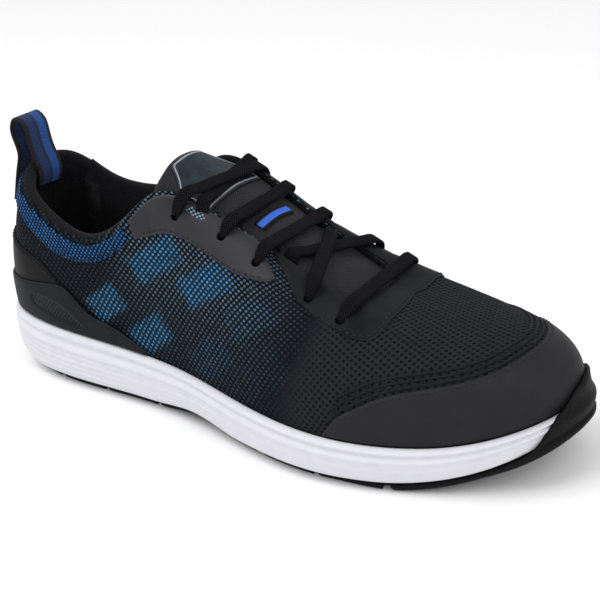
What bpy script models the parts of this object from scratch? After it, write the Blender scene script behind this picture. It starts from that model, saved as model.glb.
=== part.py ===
"""Low safety sneaker for the right foot, with a knitted mesh upper on a moulded foam midsole.

Units are metres. +X runs to the toe, -Y to the outer side of the foot and +Z up. While the pieces are
made, X is 0 at the back of the heel, Z is 0 on the floor, and Y is 0 on the heel's own centre line.
"Around" is the share of the sole's outline from the back of the heel, along the outer side to the toe
and back along the inner side.
"""

import math

import bmesh
import bpy
import numpy as np

# Driving sizes of the whole shoe
SHOE_LENGTH = 0.300
BALL_WIDTH = 0.110
COLLAR_HEIGHT = 0.100
THROAT_HEIGHT = 0.108
TOE_BOX_HEIGHT = 0.060
HEEL_STACK = 0.029
TOE_SPRING = 0.021
HEEL_BEVEL = 0.014
ARCH_RISE = 0.0025

# Thicknesses and clearances
GAP = 0.0003
WALL = 0.0024
COLLAR_PADDING = 0.0045
OVERLAY = 0.0009
RUBBER_HEEL = 0.0028
RUBBER_FOREFOOT = 0.0030
BUMPER = 0.0020
BUMPER_CLEARANCE = 0.0004
INSOLE = 0.0040
RIM_WIDTH = 0.0022
CUP_DEPTH = 0.0100
TREAD_INSET = 0.0060
FRONT_TREAD_INSET = 0.0030
FOOTBED_FLOOR = 0.0035
INSOLE_CLEARANCE = 0.0008
TONGUE_CLEARANCE = 0.0008
MERGE_DISTANCE = 2e-6

# Where the floor line leaves the floor, as shares of the length
BEVEL_END = 0.11
ARCH_START = 0.34
ARCH_END = 0.54
SPRING_START = 0.76

# Sizes of the trim
EYELET_RADIUS = 0.0021
LACE_TURN = 0.013
LACE_WIDTH = 0.0066
LACE_THICKNESS = 0.0018
LACE_CLEARANCE = 0.0008
LACE_POINTS = 9
LACE_STAGGER = 0.0014
LACE_DIP = 0.0040
TONGUE_THICKNESS = 0.0042
TONGUE_TUCKS = (0.0180, 0.0100, 0.0030)
TONGUE_FRONT_DEPTH = 0.0015
TONGUE_ARCH = 0.10
TONGUE_TOP = (0.103, 0.002, 0.1175)
TONGUE_TOP_HALF_WIDTH = 0.0220
TONGUE_TOP_DROP = 0.0100
TONGUE_TOP_PADDING = 0.0030
LABEL_ROWS = (12.3, 16.6)
LABEL_ACROSS = (2.2, 5.8)
LABEL_THICKNESS = 0.0009
KEEPER_ROWS = (9.3, 10.1)
KEEPER_ACROSS = (2.9, 5.1)
LOOP_WIDTH = 0.0175
LOOP_LENGTH = 0.0235
LOOP_OPENING = 0.0100
LOOP_THICKNESS = 0.0015
LOOP_TAIL = 0.0200
LOOP_CLEARANCE = 0.0009
LOOP_HOLLOW = 0.0022
LOOP_LEAN = math.radians(103)
NOTCH_WIDTH = 0.0035
NOTCH_DEPTH = 0.0080
GROOVE_WIDTH = 0.0030
GROOVE_DEPTH = 0.0016

# The upper's grid. Each piece that lies on the upper or follows the sole shares these columns
COLUMNS = 64
RISE_STEPS = 11
THROAT_TOP_COLUMN = 15
THROAT_FRONT_COLUMN = 31

# The midsole's outline from above, as shares of the length and of the ball width
SOLE_OUTLINE = (
    # along, across
    (0.000, 0.000),
    (0.024, -0.188),
    (0.095, -0.294),
    (0.230, -0.336),
    (0.400, -0.366),
    (0.550, -0.480),
    (0.685, -0.532),
    (0.815, -0.450),
    (0.915, -0.314),
    (0.977, -0.127),
    (1.000, 0.090),
    (0.971, 0.280),
    (0.900, 0.413),
    (0.800, 0.492),
    (0.700, 0.480),
    (0.560, 0.390),
    (0.410, 0.300),
    (0.260, 0.295),
    (0.105, 0.290),
    (0.027, 0.200),
)

# The midsole's top edge from the side, as shares of the length and of the heel stack
RIM_LINE = (
    # along, height
    (0.00, 1.07),
    (0.10, 1.05),
    (0.30, 0.966),
    (0.50, 0.835),
    (0.70, 0.740),
    (0.85, 0.766),
    (1.00, 1.123),
)

# The edge of the collar and throat. Along is a share of the length, across of the ball width. The height
# is a share of the collar's own height at the back, or of the throat's at the front
TOPLINE = (
    # around, along, across, collar height, throat height
    (0.000, 0.040, 0.010, 1.015, 0.0),
    (0.047, 0.070, -0.173, 0.965, 0.0),
    (0.089, 0.130, -0.260, 0.875, 0.0),
    (0.137, 0.227, -0.305, 0.795, 0.0),
    (0.168, 0.280, -0.295, 0.850, 0.0),
    (0.195, 0.317, -0.268, 0.955, 0.0),
    (0.216, 0.347, -0.236, 0.0, 0.968),
    (0.237, 0.383, -0.214, 0.0, 0.995),
    (0.276, 0.453, -0.191, 0.0, 0.926),
    (0.337, 0.543, -0.173, 0.0, 0.810),
    (0.376, 0.600, -0.180, 0.0, 0.736),
    (0.410, 0.643, -0.168, 0.0, 0.685),
    (0.445, 0.678, -0.118, 0.0, 0.650),
    (0.475, 0.695, -0.040, 0.0, 0.642),
    (0.500, 0.699, 0.036, 0.0, 0.638),
    (0.525, 0.695, 0.100, 0.0, 0.636),
    (0.555, 0.678, 0.158, 0.0, 0.652),
    (0.600, 0.635, 0.185, 0.0, 0.699),
    (0.663, 0.550, 0.200, 0.0, 0.808),
    (0.724, 0.460, 0.218, 0.0, 0.954),
    (0.763, 0.390, 0.236, 0.0, 1.018),
    (0.784, 0.353, 0.255, 0.0, 0.990),
    (0.805, 0.320, 0.277, 0.980, 0.0),
    (0.832, 0.280, 0.295, 0.885, 0.0),
    (0.863, 0.227, 0.302, 0.845, 0.0),
    (0.911, 0.133, 0.280, 0.875, 0.0),
    (0.950, 0.073, 0.205, 1.000, 0.0),
)

# How each wall of the upper bends between the midsole's rim and the topline. It leaves the rim by a rise
# and a bulge, and reaches the topline from a reach outwards and a drop below it
WALL_CURVES = (
    # around, rise (of toe box height), bulge, reach (of ball width), drop (of collar height)
    (0.000, 0.40, 0.020, 0.060, 0.24),
    (0.045, 0.40, 0.025, 0.065, 0.22),
    (0.085, 0.40, 0.030, 0.060, 0.22),
    (0.180, 0.40, 0.030, 0.050, 0.20),
    (0.237, 0.42, 0.020, 0.110, 0.20),
    (0.305, 0.44, 0.020, 0.200, 0.12),
    (0.370, 0.42, 0.025, 0.280, 0.10),
    (0.435, 0.45, 0.030, 0.390, 0.095),
    (0.500, 0.50, 0.030, 0.490, 0.095),
    (0.565, 0.48, 0.025, 0.420, 0.095),
    (0.630, 0.40, 0.015, 0.300, 0.115),
    (0.695, 0.36, 0.005, 0.190, 0.14),
    (0.763, 0.42, 0.005, 0.100, 0.18),
    (0.820, 0.40, 0.010, 0.050, 0.20),
    (0.915, 0.40, 0.040, 0.055, 0.22),
)

# The side of the midsole, from its lower edge to its rim: ribs low down, then a ridge, a groove and a lip.
# Inset and rib are measured inwards from the outline, and rise is a share of the height of the side
MIDSOLE_SIDE = (
    # inset, rib, rise
    (0.0052, 0.0, 0.00),
    (0.0020, 0.0, 0.09),
    (0.0006, 0.0, 0.22),
    (0.0004, 0.0009, 0.32),
    (0.0002, 0.0, 0.41),
    (0.0002, 0.0009, 0.50),
    (0.0000, 0.0, 0.60),
    (0.0000, 0.0, 0.72),
    (0.0009, 0.0, 0.79),
    (0.0004, 0.0, 0.87),
    (0.0006, 0.0, 0.96),
    (0.0018, 0.0, 1.00),
)

# How deep the ribs are along the shoe
RIB_LINE = (
    # along, share of the rib
    (0.00, 0.0),
    (0.08, 1.0),
    (0.24, 1.0),
    (0.34, 0.0),
    (0.44, 0.8),
    (0.56, 0.0),
)

# The rubber's wrap round the toe. Side is the share of the midsole's side that it covers, and lift is how
# far it runs on over the toe cap
BUMPER_EDGE = (
    # around, side, lift
    (0.405, 0.00, 0.0),
    (0.430, 0.18, 0.0),
    (0.452, 0.55, 0.0),
    (0.468, 1.00, 0.0015),
    (0.485, 1.00, 0.0080),
    (0.500, 1.00, 0.0100),
    (0.530, 1.00, 0.0080),
    (0.550, 1.00, 0.0015),
    (0.568, 0.55, 0.0),
    (0.592, 0.18, 0.0),
    (0.620, 0.00, 0.0),
)

BUMPER_ROWS = (1, 2, 6, 7, 9, 10, 11)
BUMPER_LIFTS = (0.002, 0.006, 0.010)

# Overlays on the upper. Low and high are distances up the wall from the rim, in shares of the collar height
TOE_CAP_EDGE = (
    # around, high
    (0.323, 0.016),
    (0.332, 0.090),
    (0.345, 0.150),
    (0.365, 0.215),
    (0.395, 0.262),
    (0.440, 0.280),
    (0.500, 0.320),
    (0.560, 0.300),
    (0.605, 0.262),
    (0.635, 0.215),
    (0.655, 0.150),
    (0.668, 0.090),
    (0.677, 0.016),
)
HEEL_COUNTER_EDGE = (
    # around, high
    (-0.125, 0.020),
    (-0.100, 0.240),
    (-0.060, 0.370),
    (0.000, 0.430),
    (0.060, 0.370),
    (0.100, 0.240),
    (0.125, 0.020),
)
HEEL_SUPPORT_EDGE = (
    # around, low, high, window low, window high
    (-0.170, 0.012, 0.030, 0.020, 0.024),
    (-0.141, 0.012, 0.115, 0.045, 0.060),
    (-0.120, 0.012, 0.165, 0.045, 0.060),
    (-0.110, 0.012, 0.225, 0.055, 0.110),
    (-0.090, 0.012, 0.243, 0.068, 0.165),
    (-0.054, 0.012, 0.205, 0.100, 0.150),
    (0.000, 0.012, 0.190, 0.110, 0.120),
    (0.054, 0.012, 0.205, 0.100, 0.150),
    (0.090, 0.012, 0.243, 0.068, 0.165),
    (0.110, 0.012, 0.225, 0.055, 0.110),
    (0.120, 0.012, 0.165, 0.045, 0.060),
    (0.141, 0.012, 0.115, 0.045, 0.060),
    (0.170, 0.012, 0.030, 0.020, 0.024),
)
SUPPORT_WINDOW = (0.066, 0.118)
COLLAR_BAND_EDGE = (
    # around, drop from the collar's edge
    (-0.211, 0.030),
    (-0.187, 0.075),
    (-0.133, 0.105),
    (-0.100, 0.150),
    (-0.080, 0.150),
    (-0.040, 0.100),
    (0.000, 0.090),
    (0.040, 0.100),
    (0.080, 0.150),
    (0.100, 0.150),
    (0.133, 0.105),
    (0.187, 0.075),
    (0.211, 0.030),
)

# The eyestay and the strip in front of it hang below the throat's edge by shares of the collar height
EYESTAY_EDGE = (
    # around, drop
    (0.189, 0.085),
    (0.200, 0.127),
    (0.218, 0.179),
    (0.235, 0.217),
    (0.251, 0.250),
    (0.267, 0.280),
    (0.300, 0.285),
    (0.313, 0.265),
    (0.321, 0.235),
)
STRIP_EDGE = (
    # around, drop
    (0.335, 0.330),
    (0.352, 0.400),
    (0.378, 0.440),
    (0.400, 0.370),
    (0.430, 0.250),
    (0.500, 0.120),
)
EDGE_DROP = 0.012

# The eyelets of the outer side from the toe end up, which the inner side mirrors
EYELETS = (
    # around, drop from the throat's edge, lift of the lace
    (0.368, 0.0350, 0.0008),
    (0.348, 0.0280, 0.0),
    (0.306, 0.0185, 0.0),
    (0.276, 0.0122, 0.0),
    (0.235, 0.0113, 0.0027),
)
STRIP_EYELETS = 2

# Flex notches along the sole's edge, as shares of the length
NOTCHES = (0.135, 0.235, 0.345, 0.455, 0.565, 0.671, 0.785)


def smooth_curve(knots, rows, period=None):
    """Returns a cubic curve through rows of numbers, closed where a period is given."""
    knots = np.asarray(knots, float)
    rows = np.asarray(rows, float).reshape(len(knots), -1)
    if period is not None:
        knots = np.append(knots, knots[0] + period)
        rows = np.vstack([rows, rows[:1]])
    steps = np.diff(knots)
    rates = np.diff(rows, axis=0) / steps[:, None]
    count = len(knots)
    matrix = np.zeros((count, count))
    target = np.zeros_like(rows)
    for i in range(1, count - 1):
        before, after = 1 / steps[i - 1], 1 / steps[i]
        matrix[i, i - 1 : i + 2] = before, 2 * (before + after), after
        target[i] = 3 * (rates[i - 1] * before + rates[i] * after)
    if period is None:
        matrix[0, :2] = 2, 1
        target[0] = 3 * rates[0]
        matrix[-1, -2:] = 1, 2
        target[-1] = 3 * rates[-1]
    else:
        before, after = 1 / steps[-1], 1 / steps[0]
        matrix[0, 0], matrix[0, 1], matrix[0, -2] = 2 * (before + after), after, before
        target[0] = 3 * (rates[-1] * before + rates[0] * after)
        matrix[-1, 0], matrix[-1, -1] = 1, -1
    slopes = np.linalg.solve(matrix, target)

    def curve(at):
        at = np.asarray(at, float)
        if period is not None:
            at = (at - knots[0]) % period + knots[0]
        i = np.clip(np.searchsorted(knots, at, side="right") - 1, 0, count - 2)
        step = steps[i][..., None]
        t = ((at - knots[i]) / steps[i])[..., None]
        return (
            rows[i] * (1 + 2 * t) * (1 - t) ** 2
            + slopes[i] * step * t * (1 - t) ** 2
            + rows[i + 1] * t * t * (3 - 2 * t)
            + slopes[i + 1] * step * t * t * (t - 1)
        )

    return curve


def column_curve(table, period=None):
    """A smooth curve through a table whose first column is the place along the curve."""
    return smooth_curve([row[0] for row in table], [row[1:] for row in table], period)


def plain_steps(table):
    """Straight lines between the rows of a table, where a bend may not overshoot."""
    places = [row[0] for row in table]
    columns = list(zip(*[row[1:] for row in table]))
    return lambda at: np.stack([np.interp(at, places, c) for c in columns], axis=-1)


def make_outline():
    """The outline over its two halves: 0 is the back of the heel, 0.5 the tip of the toe."""
    corners = np.array(SOLE_OUTLINE) * (SHOE_LENGTH, BALL_WIDTH)
    chords = np.linalg.norm(np.diff(np.vstack([corners, corners[:1]]), axis=0), axis=1)
    run = np.concatenate([[0], np.cumsum(chords)])
    tip = run[np.argmax(corners[:, 0])]
    knots = np.where(run <= tip, 0.5 * run / tip, 0.5 + 0.5 * (run - tip) / (run[-1] - tip))
    return smooth_curve(knots[:-1], corners, 1.0)


def column_clip(table, places):
    """The table's columns at places on straight lines, and zero outside it."""
    knots = [row[0] for row in table]
    columns = zip(*[row[1:] for row in table])
    return [np.interp(places, knots, column, left=0, right=0) for column in columns]


outline_at = make_outline()
RISES = np.concatenate([[-1.0], np.linspace(0, 1, RISE_STEPS + 1)])
rim_curve = column_curve(RIM_LINE)
rib_curve = plain_steps(RIB_LINE)
topline_curve = column_curve(TOPLINE, 1.0)
wall_curve = column_curve(WALL_CURVES, 1.0)


def outward_at(around):
    """The direction out of the shoe, seen from above, square to the outline."""
    step = 1e-4
    tangent = outline_at(around + step) - outline_at(around - step)
    tangent /= np.linalg.norm(tangent, axis=-1, keepdims=True)
    return np.stack([tangent[..., 1], -tangent[..., 0]], axis=-1)


def plan_at(around, inset):
    return outline_at(around) - outward_at(around) * np.asarray(inset)[..., None]


def floor_height(x):
    """Height of the tread above the floor: heel bevel, arch and toe spring."""
    share = np.asarray(x, float) / SHOE_LENGTH
    bevel = np.clip(1 - share / BEVEL_END, 0, 1) ** 2
    arch = np.clip((share - ARCH_START) / (ARCH_END - ARCH_START), 0, 1)
    spring = np.clip((share - SPRING_START) / (1 - SPRING_START), 0, 1.2) ** 2
    return HEEL_BEVEL * bevel + ARCH_RISE * np.sin(math.pi * arch) ** 2 + TOE_SPRING * spring


def rim_height(x):
    return rim_curve(np.asarray(x, float) / SHOE_LENGTH)[..., 0] * HEEL_STACK


def rubber_top(x):
    share = smooth_step(np.asarray(x, float) / SHOE_LENGTH, 0.44, 0.58)
    return floor_height(x) + RUBBER_HEEL + (RUBBER_FOREFOOT - RUBBER_HEEL) * share


def midsole_bottom(x):
    return rubber_top(x) + GAP


def footbed_height(x):
    return np.maximum(rim_height(x) - CUP_DEPTH, midsole_bottom(x) + FOOTBED_FLOOR)


def raised(plan, height):
    """Points in plan with a height each, as rows of three numbers."""
    return np.concatenate([plan, np.broadcast_to(height, plan.shape[:-1])[..., None]], axis=-1)


def columns(first=0, last=COLUMNS - 1):
    """The places around of the grid's columns, so that the facets of neighbouring pieces lie parallel."""
    return (np.arange(first, last + 1) + 0.5) / COLUMNS


def columns_between(start, end):
    return columns(math.ceil(start * COLUMNS - 0.5), math.floor(end * COLUMNS - 0.5))


def upper_skin(around, rise):
    """Points of the upper's outer face: rise is 0 at the midsole's rim and 1 at the topline.

    Below 0 the wall runs straight down to the footbed, which it reaches at -1.
    """
    around, rise = np.broadcast_arrays(np.asarray(around, float), np.asarray(rise, float))
    foot = plan_at(around, RIM_WIDTH + MIDSOLE_SIDE[-1][0] + GAP)
    low = raised(foot, rim_height(foot[..., 0]))
    along, across, collar, throat = np.moveaxis(topline_curve(around), -1, 0)
    high = np.stack(
        [along * SHOE_LENGTH, across * BALL_WIDTH, collar * COLLAR_HEIGHT + throat * THROAT_HEIGHT],
        axis=-1,
    )
    up, bulge, reach, drop = np.moveaxis(wall_curve(around), -1, 0)
    out = raised(outward_at(around), 0.0)
    first = low + out * (bulge * BALL_WIDTH)[..., None]
    first[..., 2] += up * TOE_BOX_HEIGHT
    back = low - high
    back[..., 2] = 0
    distance = np.linalg.norm(back, axis=-1, keepdims=True)
    second = high + back / np.maximum(distance, 1e-6) * (reach * BALL_WIDTH)[..., None]
    second[..., 2] -= drop * COLLAR_HEIGHT
    t = np.clip(rise, 0, 1)[..., None]
    skin = (
        low * (1 - t) ** 3
        + 3 * first * t * (1 - t) ** 2
        + 3 * second * t * t * (1 - t)
        + high * t**3
    )
    depth = low[..., 2] - footbed_height(low[..., 0]) - GAP
    skin[..., 2] += np.clip(rise, -1, 0) * depth
    return skin


def skin_normal(around, rise):
    """The direction out of the upper's outer face."""
    around, rise = np.broadcast_arrays(np.asarray(around, float), np.asarray(rise, float))
    step = 1e-4
    ahead = upper_skin(around + step, rise) - upper_skin(around - step, rise)
    above = upper_skin(around, np.minimum(rise + step, 1)) - upper_skin(around, rise - step)
    normal = np.cross(ahead, above)
    return normal / np.linalg.norm(normal, axis=-1, keepdims=True)


def off_skin(around, rise, distance):
    """Points at a distance outside the upper's outer face, or inside it where that is negative.

    Between two rows of the upper's grid they lie on the straight line that its facets follow.
    """
    around, rise, distance = np.broadcast_arrays(
        np.asarray(around, float), np.asarray(rise, float), np.asarray(distance, float)
    )
    row = np.clip(np.searchsorted(RISES, rise, side="right") - 1, 0, len(RISES) - 2)
    t = ((rise - RISES[row]) / (RISES[row + 1] - RISES[row]))[..., None]
    ends = [
        upper_skin(around, RISES[r]) + skin_normal(around, RISES[r]) * distance[..., None]
        for r in (row, row + 1)
    ]
    return ends[0] * (1 - t) + ends[1] * t


def smooth_step(value, low, high):
    t = np.clip((value - low) / (high - low), 0, 1)
    return t * t * (3 - 2 * t)


def wall_thickness(around, rise):
    """Thickness of the upper: one wall, with padding towards the collar's edge."""
    around, rise = np.broadcast_arrays(np.asarray(around, float), np.asarray(rise, float))
    collar = 1 - smooth_step(np.minimum(around % 1, 1 - around % 1), 0.165, 0.225)
    return WALL + COLLAR_PADDING * collar * smooth_step(rise, 0.35, 0.85)


def rise_from_rim(around, distance):
    """The rise at which the wall has run that distance up from the rim."""
    return _rise_at(around, distance, False)


def rise_from_edge(around, distance):
    """The rise at which the wall is still that distance short of the topline."""
    return _rise_at(around, distance, True)


def _rise_at(around, distance, from_top):
    around, distance = np.broadcast_arrays(np.asarray(around, float), np.asarray(distance, float))
    rises = np.linspace(0, 1, 61)
    skin = upper_skin(around[..., None], rises)
    lengths = np.linalg.norm(np.diff(skin, axis=-2), axis=-1)
    run = np.concatenate([np.zeros(around.shape + (1,)), np.cumsum(lengths, axis=-1)], axis=-1)
    wanted = run[..., -1] - distance if from_top else distance
    found = [
        np.interp(w, r, rises) for w, r in zip(wanted.reshape(-1), run.reshape(-1, len(rises)))
    ]
    return np.array(found).reshape(around.shape)


def make_material(name, colour, roughness, metallic=0.0):
    material = bpy.data.materials.new(name)
    material.use_nodes = True
    shader = material.node_tree.nodes["Principled BSDF"]
    shader.inputs["Base Color"].default_value = (*colour, 1.0)
    shader.inputs["Roughness"].default_value = roughness
    shader.inputs["Metallic"].default_value = metallic
    return material


def place(name, mesh, material, hidden=False):
    """Adds the mesh as an object, smooth with sharp creases. A hidden one is a cutter."""
    obj = bpy.data.objects.new(name, mesh)
    bpy.context.scene.collection.objects.link(obj)
    mesh.shade_smooth()
    mesh.set_sharp_from_angle(angle=math.radians(40))
    if material:
        mesh.materials.append(material)
    if hidden:
        obj.hide_render = True
        obj.display_type = "WIRE"
    return obj


def loft(name, rings, material, closed=False, hidden=False, folded=False):
    """A closed solid over a row of rings with equally many points, all its facets split the same way.

    Each end ring is filled by a ladder between its two halves, or the last ring meets the first. Points
    of neighbouring rings may coincide, and are merged. A folded ring runs out along one face and back
    along the other, and both faces are split along the same lines.
    """
    rings = np.asarray(rings, float)
    count, size = rings.shape[:2]
    shape = bmesh.new()
    verts = [[shape.verts.new(point) for point in ring] for ring in rings]
    for i in range(count if closed else count - 1):
        low, high = verts[i], verts[(i + 1) % count]
        for j in range(size):
            k = (j + 1) % size
            if folded and j >= size // 2:
                corners = (low[j], low[k], high[j]), (low[k], high[k], high[j])
            else:
                corners = (low[j], low[k], high[k]), (low[j], high[k], high[j])
            for corner in corners:
                shape.faces.new(corner)
    if not closed:
        for ring in (verts[0], verts[-1]):
            for j in range(size // 2 - 1):
                shape.faces.new((ring[j], ring[j + 1], ring[size - 2 - j], ring[size - 1 - j]))
    bmesh.ops.remove_doubles(shape, verts=shape.verts, dist=MERGE_DISTANCE)
    bmesh.ops.recalc_face_normals(shape, faces=shape.faces)
    mesh = bpy.data.meshes.new(name)
    shape.to_mesh(mesh)
    shape.free()
    return place(name, mesh, material, hidden)


def boolean(target, other, operation):
    modifier = target.modifiers.new(f"{operation.lower()}_{other.name}", "BOOLEAN")
    modifier.operation = operation
    modifier.solver = "EXACT"
    modifier.object = other
    return modifier


def wall_patch(name, material, around, low, high, inner, outer, hidden=False):
    """A skin of even thickness on the upper, between two rises at each place around it.

    Its rows are those of the upper's grid, cut off at the two edges.
    """
    inside_rows = RISES[(RISES > low.min()) & (RISES < high.max())]
    rows = np.concatenate([[low.min()], inside_rows, [high.max()]])
    rises = np.clip(rows[None, :], low[:, None], high[:, None])
    places = around[:, None]
    outside = off_skin(places, rises, outer)
    inside = off_skin(places, rises, inner)
    rings = np.concatenate([outside, inside[:, ::-1]], axis=1)
    return loft(name, rings, material, hidden=hidden, folded=True)


def sweep(name, path, across, width, thickness, material, hidden=False):
    """A flat strip along a path. Across gives, at each point, the direction of the strip's width."""
    path = np.asarray(path, float)
    across = np.broadcast_to(np.asarray(across, float), path.shape)
    ahead = np.gradient(path, axis=0)
    ahead /= np.linalg.norm(ahead, axis=1, keepdims=True)
    side = across - ahead * np.sum(across * ahead, axis=1, keepdims=True)
    side /= np.linalg.norm(side, axis=1, keepdims=True)
    up = np.cross(side, ahead)
    half, thick = width / 2, thickness / 2
    # the section is a flat strip with six corners, told as shares of half the width and thickness
    section = ((1, 0), (0.8, 1), (-0.8, 1), (-1, 0), (-0.8, -1), (0.8, -1))
    rings = [path + side * (half * a) + up * (thick * b) for a, b in section]
    return loft(name, np.stack(rings, axis=1), material, hidden=hidden)


def sole_ring(around, inset, height_of):
    """A ring at an inset from the outline, at heights told by its X."""
    plan = plan_at(around, np.broadcast_to(inset, around.shape))
    return raised(plan, height_of(plan[:, 0]))


def side_points(around, row, extra=0.0):
    """Points on the midsole's side at one row of its table, pushed outwards by extra."""
    inset, rib, rise = row
    ribs = rib_curve(outline_at(around)[:, 0] / SHOE_LENGTH)[:, 0]
    plan = plan_at(around, inset + rib * ribs - extra)
    low, high = midsole_bottom(plan[:, 0]), rim_height(plan[:, 0])
    return raised(plan, low + (high - low) * rise)


def build_midsole(material):
    around = columns()
    rings = [side_points(around, row) for row in MIDSOLE_SIDE]
    cup = MIDSOLE_SIDE[-1][0] + RIM_WIDTH
    rings.append(sole_ring(around, cup, rim_height))
    rings.append(sole_ring(around, cup, footbed_height))
    return loft("midsole", rings, material)


def tread_inset(around):
    """How far the rubber's edge lies inside the outline: well back at the heel, proud at the toe."""
    x = outline_at(around)[..., 0] / SHOE_LENGTH
    front = smooth_step(x, 0.70, 0.81)
    toe = smooth_step(x, 0.84, 0.97)
    heel = 1 - smooth_step(x, 0.02, 0.14)
    edge = TREAD_INSET + (FRONT_TREAD_INSET - TREAD_INSET) * front
    return edge + 0.0045 * heel - (FRONT_TREAD_INSET + BUMPER + GAP) * toe


def bumper_path(around, push, cover):
    """Lines up the midsole's side and over the toe cap, as columns of points."""
    rows = [MIDSOLE_SIDE[number] for number in BUMPER_ROWS]
    lines = [side_points(around, (min(inset, 0.0012), 0.0, rise), push) for inset, rib, rise in rows]
    for lift in BUMPER_LIFTS:
        lines.append(off_skin(around, rise_from_rim(around, np.full(around.shape, lift)), cover))
    return np.stack(lines, axis=1)


def cut_off(lines, start, reach):
    """Runs each line from its start to its reach, counted in points: what lies beyond folds onto the end."""
    lines = np.concatenate([start[:, None], lines], axis=1)
    places = np.arange(lines.shape[1])
    wanted = np.minimum(places[None, :], reach[:, None])
    low = np.minimum(np.floor(wanted).astype(int), lines.shape[1] - 2)
    t = (wanted - low)[..., None]
    index = np.arange(len(lines))[:, None]
    return lines[index, low] * (1 - t) + lines[index, low + 1] * t


def build_outsole(material):
    around = columns()
    edge = tread_inset(around)
    x = outline_at(around)[:, 0]

    def chamfer(x):
        return floor_height(x) + 0.0012

    outer_start = sole_ring(around, edge, rubber_top)
    inner_start = sole_ring(around, np.maximum(edge + 0.0015, MIDSOLE_SIDE[0][0] - GAP), rubber_top)
    cover = 2 * GAP + OVERLAY + BUMPER_CLEARANCE
    outer = bumper_path(around, GAP + BUMPER, cover + 0.8 * BUMPER)
    inner = bumper_path(around, GAP, cover)
    side, lift = column_clip(BUMPER_EDGE, around)
    reach = side * len(BUMPER_ROWS) + lift / BUMPER_LIFTS[-1] * len(BUMPER_LIFTS)
    outer = cut_off(outer, outer_start, reach)
    inner = cut_off(inner, inner_start, reach)
    rings = [
        sole_ring(around, edge + 0.0012, floor_height),
        sole_ring(around, edge, chamfer),
        *np.moveaxis(outer, 1, 0),
        *np.moveaxis(inner[:, ::-1], 1, 0),
    ]
    plate = loft("outsole", rings, material)
    for cutter in build_tread_cutters():
        boolean(plate, cutter, "DIFFERENCE")
    return plate


def box_cutter(name, centre, size, turn):
    mesh = bpy.data.meshes.new(name)
    shape = bmesh.new()
    bmesh.ops.create_cube(shape, size=1.0)
    bmesh.ops.scale(shape, vec=size, verts=shape.verts)
    shape.to_mesh(mesh)
    shape.free()
    obj = place(name, mesh, None, hidden=True)
    obj.location = centre
    obj.rotation_euler = (0, 0, turn)
    return obj


def build_tread_cutters():
    """Notches through the rubber's edge and shallow flex grooves between them."""
    places = np.linspace(0, 1, 721)
    line = outline_at(places)
    out = outward_at(places)
    sides = {"outer": line[:, 1] < 0, "inner": line[:, 1] > 0}
    for number, share in enumerate(NOTCHES, 1):
        middles = []
        for side, chosen in sides.items():
            near = np.argmin(np.where(chosen, np.abs(line[:, 0] - share * SHOE_LENGTH), 1.0))
            middle = line[near]
            middles.append(middle)
            turn = math.atan2(out[near, 1], out[near, 0])
            yield box_cutter(
                f"notch_{side}_{number}",
                (*middle, floor_height(middle[0])),
                (2 * NOTCH_DEPTH, NOTCH_WIDTH, 4 * RUBBER_FOREFOOT),
                turn,
            )
        start, end = middles
        reach = end - start
        yield box_cutter(
            f"groove_{number}",
            (*((start + end) / 2), floor_height((start[0] + end[0]) / 2)),
            (np.linalg.norm(reach), GROOVE_WIDTH, 2 * GROOVE_DEPTH),
            math.atan2(reach[1], reach[0]),
        )


def build_insole(material):
    around = columns()
    edge = MIDSOLE_SIDE[-1][0] + RIM_WIDTH + GAP + WALL + INSOLE_CLEARANCE

    def low(x):
        return footbed_height(x) + GAP

    def high(x):
        return footbed_height(x) + GAP + INSOLE

    return loft(
        "insole",
        [
            sole_ring(around, edge, low),
            sole_ring(around, edge, high),
        ],
        material,
    )


def build_upper(material):
    around = columns()
    outside = [off_skin(around, rise, 0.0) for rise in RISES]
    inner_rises = np.concatenate([RISES[:1], RISES[1::2], RISES[-1:]])
    inside = [off_skin(around, rise, -wall_thickness(around, rise)) for rise in inner_rises]
    crest = (outside[-1] + inside[-1]) / 2
    above = outside[-1] - upper_skin(around, 0.97)
    above /= np.linalg.norm(above, axis=1, keepdims=True)
    crest += above * (wall_thickness(around, 1.0) * 0.38)[:, None]
    return loft("upper", outside + [crest] + inside[::-1], material, closed=True)


def side_place(around, side):
    return around if side == "outer" else 1 - around


def wall_point(around, side, down, distance):
    """A point down the wall from the throat's edge, and off the upper's face."""
    place = side_place(around, side)
    return off_skin(place, rise_from_edge(place, down), distance)


def edge_patch(name, material, around, drop, inner=GAP, outer=GAP + OVERLAY):
    """An overlay that hangs from just below the topline to a drop below it."""
    low = rise_from_edge(around, drop)
    high = rise_from_edge(around, np.full(around.shape, EDGE_DROP * COLLAR_HEIGHT))
    return wall_patch(name, material, around, low, high, inner, outer)


def build_eyestay(side, material):
    around = columns(12, 20)
    drop = plain_steps(EYESTAY_EDGE)(around)[:, 0] * COLLAR_HEIGHT
    if side == "inner":
        around, drop = 1 - around[::-1], drop[::-1]
    return edge_patch(f"eyestay_{side}", material, around, drop)


def build_throat_strip(material):
    around = columns(21, COLUMNS - 22)
    drop = plain_steps(STRIP_EDGE)(np.minimum(around, 1 - around))[:, 0] * COLLAR_HEIGHT
    return edge_patch("throat_strip", material, around, drop)


def build_collar_band(material):
    around = columns(-12, 11)
    drop = column_curve(COLLAR_BAND_EDGE)(around)[:, 0] * COLLAR_HEIGHT
    return edge_patch("collar_band", material, around, drop)


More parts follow.
